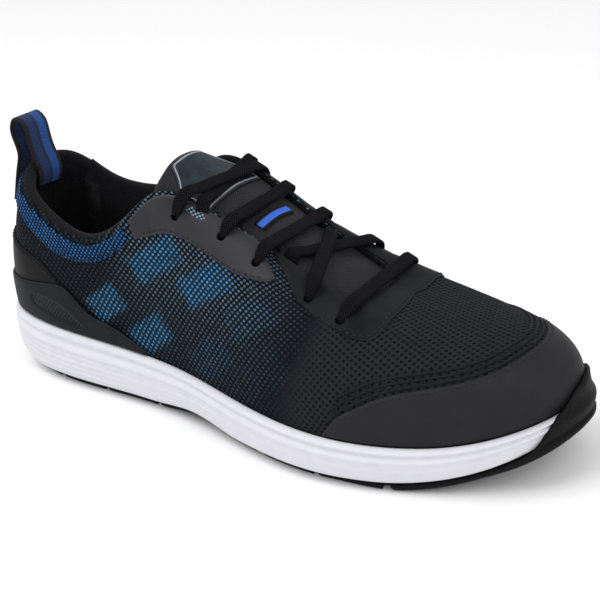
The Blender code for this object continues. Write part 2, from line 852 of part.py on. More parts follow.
def build_eyelet_cutters(side):
    for number, (around, drop, lift) in enumerate(EYELETS, 1):
        around = side_place(around, side)
        rise = rise_from_edge(around, drop)
        mesh = bpy.data.meshes.new(f"punch_{side}_{number}")
        shape = bmesh.new()
        bmesh.ops.create_cone(
            shape, cap_ends=True, segments=8, radius1=EYELET_RADIUS, radius2=EYELET_RADIUS, depth=0.018
        )
        shape.to_mesh(mesh)
        shape.free()
        cutter = place(mesh.name, mesh, None, hidden=True)
        cutter.rotation_mode = "QUATERNION"
        cutter.rotation_quaternion = direction_turn(skin_normal(around, rise))
        cutter.location = upper_skin(around, rise)
        yield cutter


def direction_turn(direction):
    """The turn that points +Z along a direction, as a quaternion's four numbers."""
    x, y, z = direction
    w = 1 + z
    length = math.sqrt(w * w + x * x + y * y)
    return (w / length, -y / length, x / length, 0.0)


def under_wall(column, side, down, depth):
    """A point of the tongue, down from the throat's edge and a depth below the upper's inner face."""
    around = (column + 0.5) / COLUMNS
    deeper = TONGUE_FRONT_DEPTH * np.clip((column - 24) / 4, 0, 1)
    return wall_point(
        around, side, down, -(wall_thickness(around, 1.0) + TONGUE_CLEARANCE + deeper + depth)
    )


def tongue_row(column, depth):
    """Points across the tongue between the same column on both sides."""
    left, right = (
        [under_wall(column, side, down, depth) for down in TONGUE_TUCKS] for side in ("outer", "inner")
    )
    arch = TONGUE_ARCH * np.clip((THROAT_FRONT_COLUMN - 3 - column) / 6, 0, 1)
    crown = arch * np.linalg.norm(right[-1] - left[-1])
    middle = [
        left[-1] + (right[-1] - left[-1]) * t + (0, 0, crown * 4 * t * (1 - t)) for t in (0.25, 0.5, 0.75)
    ]
    return np.array(left + middle + right[::-1])


def tongue_face(depth):
    """The tongue's rows from under the vamp to its free top, at a depth below its outer face."""
    tuck = TONGUE_TUCKS[0]
    front = THROAT_FRONT_COLUMN
    ends = [(front - 3, tuck), (front - 2, tuck * 0.85), (front - 1, tuck * 0.75), (front, tuck * 0.70)]
    left, right = (
        [under_wall(column, side, down, depth) for column, down in ends] for side in ("outer", "inner")
    )
    rows = [np.array(left + [(left[-1] + right[-1]) / 2] + right[::-1])]
    rows += [tongue_row(column, depth) for column in range(front - 3, THROAT_TOP_COLUMN - 1, -1)]
    last = rows[-1]
    share = np.linspace(-1, 1, len(last))
    top = np.array(TONGUE_TOP) + np.stack(
        [0 * share, TONGUE_TOP_HALF_WIDTH * share, -TONGUE_TOP_DROP * share**2], axis=1
    )
    top += np.array((-0.35, 0, -0.94)) * (depth + TONGUE_TOP_PADDING * np.clip(depth / TONGUE_THICKNESS, 0, 1))
    for step in (0.33, 0.67, 1.0):
        rows.append(last + (top - last) * step)
    return np.array(rows)


def build_tongue(material):
    outside, inside = tongue_face(0.0), tongue_face(TONGUE_THICKNESS)
    return loft("tongue", np.concatenate([outside, inside[:, ::-1]], axis=1), material, folded=True)


def tongue_patch(name, material, rows, across, lift, thickness):
    """A flat piece that lies on the tongue, between places counted in the tongue's rows and points."""
    faces = [tongue_face(-height) for height in (lift + thickness, lift)]
    rows = with_grid_lines(*rows)
    across = with_grid_lines(*across)
    outside, inside = ([[between(face, u, v) for v in across] for u in rows] for face in faces)
    rings = np.concatenate([outside, np.array(inside)[:, ::-1]], axis=1)
    return loft(name, rings, material, folded=True)


def with_grid_lines(start, end):
    return np.array([start, *range(math.ceil(start + 0.05), math.floor(end - 0.05) + 1), end])


def between(grid, u, v):
    i, j = min(int(u), grid.shape[0] - 2), min(int(v), grid.shape[1] - 2)
    u, v = u - i, v - j
    low = grid[i, j] * (1 - v) + grid[i, j + 1] * v
    high = grid[i + 1, j] * (1 - v) + grid[i + 1, j + 1] * v
    return low * (1 - u) + high * u


def lace_ground():
    """Points all over the throat's sides and the tongue, which the laces lie on."""
    rises = np.linspace(0.3, 1.0, 45)
    points = [[0.0, 0.0, 0.0]]
    for start, end in ((0.20, 0.46), (0.54, 0.80)):
        places = np.linspace(start, end, 90)[:, None]
        points = np.concatenate([points, off_skin(places, rises, GAP + OVERLAY).reshape(-1, 3)])
    face = tongue_face(0.0)
    rows, across = np.linspace(0, len(face) - 1.001, 90), np.linspace(0, face.shape[1] - 1.001, 40)
    on_tongue = [between(face, u, v) for u in rows for v in across]
    return np.concatenate([points[1:], on_tongue])


def taut_path(start, end, ground, axes, lift):
    """The string stretched from start to end over the ground, seen in the throat's own axes."""
    points = ground @ axes.T
    first, last = axes @ start, axes @ end
    shares = np.linspace(0, 1, 31)
    line = first + (last - first) * shares[:, None]
    heights = []
    for place in line[1:-1]:
        near = np.hypot(points[:, 0] - place[0], points[:, 1] - place[1]) < LACE_WIDTH / 2
        heights.append(points[near, 2].max() if near.any() else -1.0)
    heights = np.array(heights) + LACE_CLEARANCE + LACE_THICKNESS / 2 + lift
    profile = [(0.0, first[2]), *zip(shares[1:-1], heights), (1.0, last[2])]
    hull = []
    for point in profile:
        while len(hull) > 1 and turns_up(hull[-2], hull[-1], point):
            hull.pop()
        hull.append(point)
    at = np.linspace(0, 1, LACE_POINTS)
    line = first + (last - first) * at[:, None]
    line[:, 2] = np.interp(at, *zip(*hull))
    line[1:-1, 2] = np.maximum(line[1:-1, 2], line[1:-1, 2] * 0.5 + (line[:-2, 2] + line[2:, 2]) * 0.25)
    return line @ axes


def turns_up(first, second, third):
    rise = (second[1] - first[1]) * (third[0] - first[0])
    return rise <= (third[1] - first[1]) * (second[0] - first[0])


def build_laces(material):
    along = wall_point(0.25, "outer", 0.0, 0.0) - wall_point(0.35, "outer", 0.0, 0.0)
    along[1] = 0
    along /= np.linalg.norm(along)
    across = np.array((0.0, 1.0, 0.0))
    axes = np.array([along, across, np.cross(across, along)])
    axes[2] *= np.sign(axes[2, 2])
    ground = lace_ground()
    over = 2 * GAP + OVERLAY + LACE_CLEARANCE + LACE_THICKNESS / 2

    def lace(name, eyelet, side, far, far_drop, lift, depth, hidden=False):
        other = "inner" if side == "outer" else "outer"
        start = wall_point(eyelet[0], side, eyelet[1], over + eyelet[2])
        end = wall_point(far, other, far_drop, over + eyelet[2]) + (0, depth if other == "outer" else -depth, -depth / 2)
        path = taut_path(start, end, ground, axes, lift)
        return sweep(name, path, along, LACE_WIDTH, LACE_THICKNESS, material, hidden=hidden)

    front = EYELETS[0]
    laces = [lace("lace_bar", front, "outer", front[0], front[1], 0.0, 0.0)]
    for number in range(1, len(EYELETS)):
        far = EYELETS[number - 1][0] - LACE_TURN
        first = lace(f"lace_cross_{number}", EYELETS[number], "outer", far, 0.0, LACE_STAGGER, LACE_DIP)
        second = lace(f"lace_under_{number}", EYELETS[number], "inner", far, 0.0, 0.0, LACE_DIP, True)
        boolean(first, second, "UNION")
        laces.append(first)
    return laces


def build_pull_loop(material):
    """A folded webbing strap that straddles the collar's back edge and stands up behind it."""
    thick = wall_thickness(0.0, 1.0)
    clear = LOOP_CLEARANCE + LOOP_THICKNESS / 2
    outer = 2 * GAP + OVERLAY + clear
    low = off_skin(0.0, rise_from_edge(0.0, LOOP_TAIL), outer)
    mid = off_skin(0.0, rise_from_edge(0.0, LOOP_TAIL * 0.5), outer)
    brim = off_skin(0.0, rise_from_edge(0.0, 0.0005), outer)
    hollow = thick + clear + LOOP_HOLLOW
    inner = off_skin(0.0, rise_from_edge(0.0, 0.0010), -hollow)
    inner_low = off_skin(0.0, rise_from_edge(0.0, 0.0080), -hollow)
    ahead = np.array((math.cos(LOOP_LEAN), 0, math.sin(LOOP_LEAN)))
    up = np.array((math.sin(LOOP_LEAN), 0, -math.cos(LOOP_LEAN)))
    root = (brim + inner) / 2 + (0, 0, thick * 0.38)
    half = LOOP_OPENING / 2
    # how far along the loop and how far across it each point of the strap lies, as shares
    bends = ((0.22, -0.95), (0.60, -0.95), (0.88, -0.75), (1.0, 0.0), (0.88, 0.75), (0.60, 0.95), (0.22, 0.95))
    path = [low, mid, brim]
    path += [root + ahead * LOOP_LENGTH * far + up * half * wide for far, wide in bends]
    path += [inner, inner_low]
    chords = np.linalg.norm(np.diff(path, axis=0), axis=1)
    knots = np.concatenate([[0], np.cumsum(chords)]) / chords.sum()
    line = smooth_curve(knots, path)(np.linspace(0, 1, 24))
    return sweep("pull_loop", line, (0, 1, 0), LOOP_WIDTH, LOOP_THICKNESS, material)


def build_toe_cap(material):
    around = columns_between(TOE_CAP_EDGE[0][0], TOE_CAP_EDGE[-1][0])
    high = column_curve(TOE_CAP_EDGE)(around)[:, 0] * COLLAR_HEIGHT
    low = np.full(around.shape, 0.0010)
    high = np.maximum(high, low + 0.0008)
    return wall_patch(
        "toe_cap",
        material,
        around,
        rise_from_rim(around, low),
        rise_from_rim(around, high),
        GAP,
        GAP + OVERLAY,
    )


def build_heel_counter(material):
    around = columns_between(HEEL_COUNTER_EDGE[0][0], HEEL_COUNTER_EDGE[-1][0])
    high = column_curve(HEEL_COUNTER_EDGE)(around)[:, 0] * COLLAR_HEIGHT
    low = np.full(around.shape, 0.0010)
    high = np.maximum(high, low + 0.0008)
    return wall_patch(
        "heel_counter",
        material,
        around,
        rise_from_rim(around, low),
        rise_from_rim(around, high),
        GAP,
        GAP + OVERLAY,
    )


def build_heel_support(material):
    lines = plain_steps(HEEL_SUPPORT_EDGE)
    around = columns_between(HEEL_SUPPORT_EDGE[0][0], HEEL_SUPPORT_EDGE[-1][0])
    low, high = (lines(around)[:, :2] * COLLAR_HEIGHT).T
    inner = 2 * GAP + OVERLAY
    support = wall_patch(
        "heel_support",
        material,
        around,
        rise_from_rim(around, low),
        rise_from_rim(around, high),
        inner,
        inner + OVERLAY,
    )
    for sign, side in ((1, "outer"), (-1, "inner")):
        places = np.linspace(*SUPPORT_WINDOW, 6) * sign
        low, high = (lines(places)[:, 2:] * COLLAR_HEIGHT).T
        window = wall_patch(
            f"window_{side}",
            None,
            places,
            rise_from_rim(places, low),
            rise_from_rim(places, high),
            inner - 0.002,
            inner + 0.004,
            hidden=True,
        )
        boolean(support, window, "DIFFERENCE")
    return support


def settle(pieces):
    """Hangs every piece on one empty, so that the origin lies under the middle of the shoe, on the floor."""
    bpy.context.view_layer.update()
    graph = bpy.context.evaluated_depsgraph_get()
    corners = []
    for piece in pieces:
        evaluated = piece.evaluated_get(graph)
        mesh = evaluated.to_mesh()
        points = np.empty(len(mesh.vertices) * 3)
        mesh.vertices.foreach_get("co", points)
        corners.append(points.reshape(-1, 3))
        evaluated.to_mesh_clear()
    corners = np.vstack(corners)
    low, high = corners.min(axis=0), corners.max(axis=0)
    frame = bpy.data.objects.new("shoe_frame", None)
    bpy.context.scene.collection.objects.link(frame)
    for obj in list(bpy.context.scene.objects):
        if obj is not frame:
            obj.parent = frame
    frame.location = (-(low[0] + high[0]) / 2, -(low[1] + high[1]) / 2, -low[2])


def main():
    for old in list(bpy.data.objects):
        bpy.data.objects.remove(old, do_unlink=True)
    knit = make_material("black_knit_mesh", (0.012, 0.016, 0.024), 0.85)
    film = make_material("black_synthetic", (0.016, 0.016, 0.020), 0.55)
    grey = make_material("grey_synthetic", (0.045, 0.045, 0.052), 0.60)
    foam = make_material("white_foam", (0.80, 0.80, 0.82), 0.55)
    rubber = make_material("black_rubber", (0.010, 0.010, 0.011), 0.60)
    cord = make_material("black_lace", (0.010, 0.010, 0.012), 0.90)
    webbing = make_material("blue_webbing", (0.010, 0.030, 0.120), 0.70)
    padding = make_material("black_lining", (0.014, 0.014, 0.018), 0.90)

    upper = build_upper(knit)
    eyestays = {side: build_eyestay(side, grey) for side in ("outer", "inner")}
    strip = build_throat_strip(film)
    for side, eyestay in eyestays.items():
        for number, cutter in enumerate(build_eyelet_cutters(side)):
            boolean(upper, cutter, "DIFFERENCE")
            boolean(eyestay if number >= STRIP_EYELETS else strip, cutter, "DIFFERENCE")
    pieces = [
        upper,
        *eyestays.values(),
        strip,
        build_collar_band(knit),
        build_midsole(foam),
        build_outsole(rubber),
        build_insole(padding),
        build_tongue(padding),
        tongue_patch("tongue_label", film, LABEL_ROWS, LABEL_ACROSS, GAP, LABEL_THICKNESS),
        tongue_patch("lace_keeper", webbing, KEEPER_ROWS, KEEPER_ACROSS, GAP, LABEL_THICKNESS),
        build_toe_cap(film),
        build_heel_counter(film),
        build_heel_support(grey),
        *build_laces(cord),
        build_pull_loop(webbing),
    ]
    settle(pieces)


main()
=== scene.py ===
"""The looks of a right safety sneaker: its knit, films, foam, rubber, laces and webbing.

Units are metres. The shape functions are those that the shoe's solids are made from, with smoother steps.
"""

import math

import bpy
import numpy as np
from mathutils import Matrix, Vector


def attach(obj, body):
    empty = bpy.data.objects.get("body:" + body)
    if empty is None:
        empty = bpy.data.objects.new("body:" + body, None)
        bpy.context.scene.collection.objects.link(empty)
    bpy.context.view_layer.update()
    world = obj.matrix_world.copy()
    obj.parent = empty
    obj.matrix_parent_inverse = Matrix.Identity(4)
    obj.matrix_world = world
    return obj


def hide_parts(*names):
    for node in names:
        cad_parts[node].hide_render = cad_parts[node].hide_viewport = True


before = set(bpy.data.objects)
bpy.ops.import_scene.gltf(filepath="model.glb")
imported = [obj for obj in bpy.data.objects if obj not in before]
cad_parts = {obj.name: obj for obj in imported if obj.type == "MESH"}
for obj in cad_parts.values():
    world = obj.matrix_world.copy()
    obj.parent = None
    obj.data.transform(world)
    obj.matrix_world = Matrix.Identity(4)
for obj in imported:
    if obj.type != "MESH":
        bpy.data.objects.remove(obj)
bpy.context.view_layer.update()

# Driving sizes of the whole shoe
SHOE_LENGTH = 0.300
BALL_WIDTH = 0.110
COLLAR_HEIGHT = 0.100
THROAT_HEIGHT = 0.108
TOE_BOX_HEIGHT = 0.060
HEEL_STACK = 0.029
TOE_SPRING = 0.021
HEEL_BEVEL = 0.014
ARCH_RISE = 0.0025

# Thicknesses, clearances and roundings, and the shares that go with them
GAP = 0.0003
WALL = 0.0024
COLLAR_PADDING = 0.0045
PADDING_ENDS = (0.165, 0.225)
PADDING_RISE = (0.35, 0.85)
COLLAR_ROUND = 0.42
OVERLAY = 0.0009
FILM_START = 0.0008
FILM_LEAST = 0.0018
FILM_SOFT = 0.0012
FILM_EDGE_SHARE = 0.25
FILM_BODY = 0.6
WINDOW_SUNK = 0.7
SPOT_SUNK = 0.6
RUBBER_HEEL = 0.0028
RUBBER_FOREFOOT = 0.0030
BUMPER = 0.0020
BUMPER_CLEARANCE = 0.0004
BUMPER_DIP = 0.0012
BUMPER_OVER_CAP = 0.8
INSOLE = 0.0040
RIM_WIDTH = 0.0022
CUP_DEPTH = 0.0100
TREAD_INSET = 0.0060
FRONT_TREAD_INSET = 0.0030
HEEL_TREAD_INSET = 0.0045
TREAD_INNER = 0.0015
TREAD_ROUND = 0.0012
LIP_ROUND = (0.0010, 0.0003)
FOOTBED_ROUND = (0.0010, 0.0008)
FOOTBED_FLOOR = 0.0035
INSOLE_CLEARANCE = 0.0008
TONGUE_CLEARANCE = 0.0008

# Where the floor line leaves the floor, as shares of the length
BEVEL_END = 0.11
ARCH_START = 0.34
ARCH_END = 0.54
SPRING_START = 0.76

# Where the tread's edge changes its inset at the heel, before the toe and at the toe, as shares of the length
TREAD_HEEL = (0.02, 0.14)
TREAD_FRONT = (0.70, 0.81)
TREAD_TOE = (0.90, 0.98)

# Sizes of the trim
EYELET_RADIUS = 0.0021
PUNCH_LENGTH = 0.018
LACE_TURN = 0.013
LACE_WIDTH = 0.0066
LACE_THICKNESS = 0.0018
LACE_CLEARANCE = 0.0008
LACE_POINTS = 9
LACE_STAGGER = 0.0014
LACE_DIP = 0.0040
LACE_TAIL = 0.0060
LACE_HOLE = (-0.0045, -0.0010)
LACE_STEPS = 72
LACE_NARROW = (0.004, 0.012)
LACE_END_SHARE = 0.55
TONGUE_THICKNESS = 0.0042
TONGUE_TUCKS = (0.0180, 0.0100, 0.0030)
TONGUE_FRONT_DEPTH = 0.0015
TONGUE_ARCH = 0.10
TONGUE_TOP = (0.103, 0.002, 0.1175)
TONGUE_TOP_HALF_WIDTH = 0.0220
TONGUE_TOP_DROP = 0.0100
TONGUE_TOP_PADDING = 0.0030
TONGUE_ROUND = 0.0030
LABEL_ROWS = (12.3, 16.6)
LABEL_ACROSS = (2.2, 5.8)
LABEL_THICKNESS = 0.0009
LABEL_ROUND = 0.0010
KEEPER_ROWS = (9.3, 10.1)
KEEPER_ACROSS = (2.9, 5.1)
KEEPER_ROUND = 0.0006
LOOP_WIDTH = 0.0175
LOOP_LENGTH = 0.0235
LOOP_OPENING = 0.0100
LOOP_THICKNESS = 0.0015
LOOP_TAIL = 0.0200
LOOP_CLEARANCE = 0.0009
LOOP_HOLLOW = 0.0022
LOOP_BRIM = 0.0005
LOOP_INSIDE = (0.0010, 0.0080)
LOOP_ROOT = 0.38
LOOP_LEAN = math.radians(103)
NOTCH_WIDTH = 0.0035
NOTCH_DEPTH = 0.0080
GROOVE_WIDTH = 0.0030
GROOVE_DEPTH = 0.0016

# Steps round each ring of the sole, and rows that close a ring
SOLE_STEPS = 385
CLOSING_STEPS = 10

# The solids' own columns round the shoe, by which the throat's ends and the tongue's rows are told
COLUMNS = 64
THROAT_TOP_COLUMN = 15
THROAT_FRONT_COLUMN = 31

# From the place where the shapes are told to the frame's own place, whose origin lies under the middle
MIDDLE = np.array((-0.15122382, 0.00196302, 0.0))

# The raised seams above the toe cap: how far above its edge, how wide, how thick, and by how much of its
# length each is shorter at both ends than the one below
TOE_SEAMS = (0.0019, 0.0046, 0.0073)
SEAM_WIDTH = 0.0013
SEAM_THICKNESS = 0.0007
SEAM_SHORTER = 0.012

# The small window in each eyestay: around, drop from the throat's edge, half its length and half its height
EYESTAY_WINDOW = (0.256, 0.0052, 0.0062, 0.0026)

# Sewn rows: from the start of one stitch to the next, and each stitch's own size
STITCH_PITCH = 0.0031
STITCH = (0.0022, 0.0007, 0.0006)
STITCH_IN = 0.0018

# The fine ribs low on the midsole's side, as shares of its height
RIBS_FROM = 0.10
RIBS_TO = 0.66
RIB_PITCH = 0.112
RIB_DEPTH = 0.0002

# Light: the strength all round, then each lamp's place, size and power
WORLD_LIGHT = 0.88
LAMPS = (((-0.5, -0.6, 1.3), 0.9, 9.0), ((0.9, -0.3, 0.9), 0.8, 3.0))


def on_both_sides(*rows):
    """A table whose rows from the middle of the heel on are mirrored before it."""
    return [(-around, *rest) for around, *rest in rows[:0:-1]] + list(rows)


# The midsole's outline from above, as shares of the length and of the ball width
SOLE_OUTLINE = (
    # along, across
    (0.000, 0.000), (0.024, -0.188), (0.095, -0.294), (0.230, -0.336), (0.400, -0.366), (0.550, -0.480),
    (0.685, -0.532), (0.815, -0.450), (0.915, -0.314), (0.977, -0.127), (1.000, 0.090), (0.971, 0.280),
    (0.900, 0.413), (0.800, 0.492), (0.700, 0.480), (0.560, 0.390), (0.410, 0.300), (0.260, 0.295),
    (0.105, 0.290), (0.027, 0.200),
)

# The midsole's top edge from the side, as shares of the length and of the heel stack
RIM_LINE = (
    # along, height
    (0.00, 1.07), (0.10, 1.05), (0.30, 0.966), (0.50, 0.835), (0.70, 0.740), (0.85, 0.766),
    (1.00, 1.123),
)

# The edge of the collar and throat. Along is a share of the length, across of the ball width. The height
# is a share of the collar's own height at the back, or of the throat's at the front
TOPLINE = (
    # around, along, across, collar height, throat height
    (0.000, 0.040, 0.010, 1.015, 0.0),
    (0.047, 0.070, -0.173, 0.965, 0.0),
    (0.089, 0.130, -0.260, 0.875, 0.0),
    (0.137, 0.227, -0.305, 0.795, 0.0),
    (0.168, 0.280, -0.295, 0.850, 0.0),
    (0.195, 0.317, -0.268, 0.955, 0.0),
    (0.216, 0.347, -0.236, 0.0, 0.968),
    (0.237, 0.383, -0.214, 0.0, 0.995),
    (0.276, 0.453, -0.191, 0.0, 0.926),
    (0.337, 0.543, -0.173, 0.0, 0.810),
    (0.376, 0.600, -0.180, 0.0, 0.736),
    (0.410, 0.643, -0.168, 0.0, 0.685),
    (0.445, 0.678, -0.118, 0.0, 0.650),
    (0.475, 0.695, -0.040, 0.0, 0.642),
    (0.500, 0.699, 0.036, 0.0, 0.638),
    (0.525, 0.695, 0.100, 0.0, 0.636),
    (0.555, 0.678, 0.158, 0.0, 0.652),
    (0.600, 0.635, 0.185, 0.0, 0.699),
    (0.663, 0.550, 0.200, 0.0, 0.808),
    (0.724, 0.460, 0.218, 0.0, 0.954),
    (0.763, 0.390, 0.236, 0.0, 1.018),
    (0.784, 0.353, 0.255, 0.0, 0.990),
    (0.805, 0.320, 0.277, 0.980, 0.0),
    (0.832, 0.280, 0.295, 0.885, 0.0),
    (0.863, 0.227, 0.302, 0.845, 0.0),
    (0.911, 0.133, 0.280, 0.875, 0.0),
    (0.950, 0.073, 0.205, 1.000, 0.0),
)

# How each wall of the upper bends between the midsole's rim and the topline. It leaves the rim by a rise
# and a bulge, and reaches the topline from a reach outwards and a drop below it
WALL_CURVES = (
    # around, rise (of toe box height), bulge, reach (of ball width), drop (of collar height)
    (0.000, 0.40, 0.020, 0.060, 0.24),
    (0.045, 0.40, 0.025, 0.065, 0.22),
    (0.085, 0.40, 0.030, 0.060, 0.22),
    (0.180, 0.40, 0.030, 0.050, 0.20),
    (0.237, 0.42, 0.020, 0.110, 0.20),
    (0.305, 0.44, 0.020, 0.200, 0.12),
    (0.370, 0.42, 0.025, 0.280, 0.10),
    (0.435, 0.45, 0.030, 0.390, 0.095),
    (0.500, 0.50, 0.030, 0.490, 0.095),
    (0.565, 0.48, 0.025, 0.420, 0.095),
    (0.630, 0.40, 0.015, 0.300, 0.115),
    (0.695, 0.36, 0.005, 0.190, 0.14),
    (0.763, 0.42, 0.005, 0.100, 0.18),
    (0.820, 0.40, 0.010, 0.050, 0.20),
    (0.915, 0.40, 0.040, 0.055, 0.22),
)

# The side of the midsole, from its lower edge to its rim: ribs low down, then a ridge, a groove and a lip.
# Inset and rib are measured inwards from the outline, and rise is a share of the height of the side
MIDSOLE_SIDE = (
    # inset, rib, rise
    (0.0052, 0.0, 0.00), (0.0020, 0.0, 0.09), (0.0006, 0.0, 0.22), (0.0004, 0.0009, 0.32),
    (0.0002, 0.0, 0.41), (0.0002, 0.0009, 0.50), (0.0000, 0.0, 0.60), (0.0000, 0.0, 0.72),
    (0.0009, 0.0, 0.79), (0.0004, 0.0, 0.87), (0.0006, 0.0, 0.96), (0.0018, 0.0, 1.00),
)

# How deep the ribs are along the shoe
RIB_LINE = (
    # along, share of the rib
    (0.00, 0.0), (0.08, 1.0), (0.24, 1.0), (0.34, 0.0), (0.44, 0.8), (0.56, 0.0),
)

# The rubber's wrap round the toe. Side is the share of the midsole's side that it covers, and lift is how
# far it runs on over the toe cap. Its ends are steeper than the solid's, as in the picture
BUMPER_EDGE = (
    # around, side, lift
    (0.436, 0.00, 0.0), (0.449, 0.10, 0.0), (0.459, 0.45, 0.0), (0.468, 1.00, 0.0015),
    (0.485, 1.00, 0.0080), (0.500, 1.00, 0.0100), (0.530, 1.00, 0.0080), (0.550, 1.00, 0.0015),
    (0.562, 0.45, 0.0), (0.574, 0.10, 0.0), (0.590, 0.00, 0.0),
)

BUMPER_ROWS = (1, 2, 6, 7, 9, 10, 11)
BUMPER_LIFTS = (0.002, 0.006, 0.010)

# Overlays on the upper. Low and high are distances up the wall from the rim, in shares of the collar height
TOE_CAP_EDGE = (
    # around, high
    (0.323, 0.016), (0.332, 0.090), (0.345, 0.150), (0.365, 0.215), (0.395, 0.262), (0.440, 0.280),
    (0.500, 0.320), (0.560, 0.300), (0.605, 0.262), (0.635, 0.215), (0.655, 0.150), (0.668, 0.090),
    (0.677, 0.016),
)
HEEL_COUNTER_EDGE = on_both_sides(
    # around, high
    (0.000, 0.430), (0.060, 0.370), (0.100, 0.240), (0.125, 0.020),
)
HEEL_SUPPORT_EDGE = on_both_sides(
    # around, low, high, window low, window high
    (0.000, 0.012, 0.190, 0.110, 0.120),
    (0.054, 0.012, 0.205, 0.100, 0.150),
    (0.090, 0.012, 0.243, 0.068, 0.165),
    (0.110, 0.012, 0.225, 0.055, 0.110),
    (0.120, 0.012, 0.165, 0.045, 0.060),
    (0.141, 0.012, 0.115, 0.045, 0.060),
    (0.170, 0.012, 0.030, 0.020, 0.024),
)
SUPPORT_WINDOW = (0.066, 0.118)
WINDOW_SOFT = (0.004, 0.0015)
COLLAR_BAND_EDGE = on_both_sides(
    # around, drop from the collar's edge
    (0.000, 0.090), (0.040, 0.100), (0.080, 0.150), (0.100, 0.150), (0.133, 0.105), (0.187, 0.075),
    (0.211, 0.030),
)

# The eyestay and the strip in front of it hang below the throat's edge by shares of the collar height
EYESTAY_EDGE = (
    # around, drop
    (0.189, 0.085), (0.200, 0.127), (0.218, 0.179), (0.235, 0.217), (0.251, 0.250), (0.267, 0.280),
    (0.300, 0.285), (0.313, 0.265), (0.321, 0.235),
)
STRIP_EDGE = (
    # around, drop
    (0.335, 0.330), (0.352, 0.400), (0.378, 0.440), (0.400, 0.370), (0.430, 0.250), (0.500, 0.120),
)
EDGE_DROP = 0.012

# How far round the shoe each hanging piece and each sewn row runs, and how many points tell a sewn row
EYESTAY_SPAN = (0.192, 0.3215)
STRIP_SPAN = (0.335, 0.665)
BAND_SPAN = (-0.185, 0.185)
EYESTAY_SEWN = (0.198, 0.3165, 90)
STRIP_SEWN = (0.338, 0.485, 110)
COUNTER_SEWN = (-0.102, 0.102, 120)
BAND_SEWN = (-0.180, 0.180, 200)
TOE_SEWN_IN = 0.004

# The eyelets of the outer side from the toe end up, which the inner side mirrors
EYELETS = (
    # around, drop from the throat's edge, lift of the lace
    (0.368, 0.0350, 0.0008), (0.348, 0.0280, 0.0), (0.306, 0.0185, 0.0), (0.276, 0.0122, 0.0),
    (0.235, 0.0113, 0.0027),
)
STRIP_EYELETS = 2

# Flex notches along the sole's edge, as shares of the length
NOTCHES = (0.135, 0.235, 0.345, 0.455, 0.565, 0.671, 0.785)

# Each block of blue dots on the outer side: where it lies along and up the wall, and half its sizes
BLUE_BLOCKS = (
    # along, up, half long, half wide, strength
    (0.1090, 0.0550, 0.0160, 0.0074, 1.00),
    (0.1385, 0.0520, 0.0165, 0.0078, 1.00),
    (0.0795, 0.0225, 0.0112, 0.0074, 0.90),
    (0.1050, 0.0130, 0.0138, 0.0074, 0.90),
    (0.1640, 0.0440, 0.0140, 0.0080, 0.24),
    (0.1430, 0.0150, 0.0140, 0.0080, 0.22),
    (0.1750, 0.0200, 0.0130, 0.0080, 0.08),
)
BLOCK_SLOPE = math.radians(41)
OUTLINE_LENGTH = 0.70
WALL_LENGTH = 0.065
BLOCK_FADE = (0.78, 1.18)

# The knit's pale dots: where they grow up the wall, where the quarter's come and go along the shoe, and
# how many of them are left at the quarter's foot and at the heel
PALE_RISE = (0.010, 0.060)
QUARTER_FROM = (0.066, 0.105)
QUARTER_TO = (0.145, 0.205)
PALE_LEAST = 0.30
HEEL_PALE = 0.14
HEEL_PALE_TO = (0.110, 0.180)

# Where the knit's pattern turns to run straight across the forefoot, and where its girth is told
FOREFOOT_FROM = (0.178, 0.208)
FOREFOOT_GIRTH = (0.195, 0.215)
GIRTH_SPAN = (0.150, 0.292)
GIRTH_MIDDLE = (0.004, 0.020)

# Soft creases and dents of the upper: where they lie, how long and wide they are, and how deep
CREASES = (
    # around, rise, turn, half length, half width, depth
    (0.335, 0.42, 0.9, 0.030, 0.0050, 0.0007),
    (0.355, 0.55, 1.0, 0.026, 0.0045, 0.0006),
    (0.385, 0.60, 1.1, 0.026, 0.0050, 0.0005),
    (0.640, 0.55, -1.0, 0.026, 0.0050, 0.0006),
    (0.665, 0.45, -0.9, 0.028, 0.0050, 0.0006),
    (0.150, 0.62, 0.2, 0.022, 0.0050, 0.0004),
    (0.855, 0.62, -0.2, 0.022, 0.0050, 0.0004),
)

# The picture's own view of the shoe
CAMERA_AZIMUTH = math.radians(32.429)
CAMERA_ELEVATION = math.radians(24.224)
CAMERA_ROLL = math.radians(-2.857)
CAMERA_DISTANCE = 0.5951
CAMERA_AIM = (0.150, 0.0, 0.050)
CAMERA_LENS = 76.45
CAMERA_SHIFT = (0.0482, 0.0062)


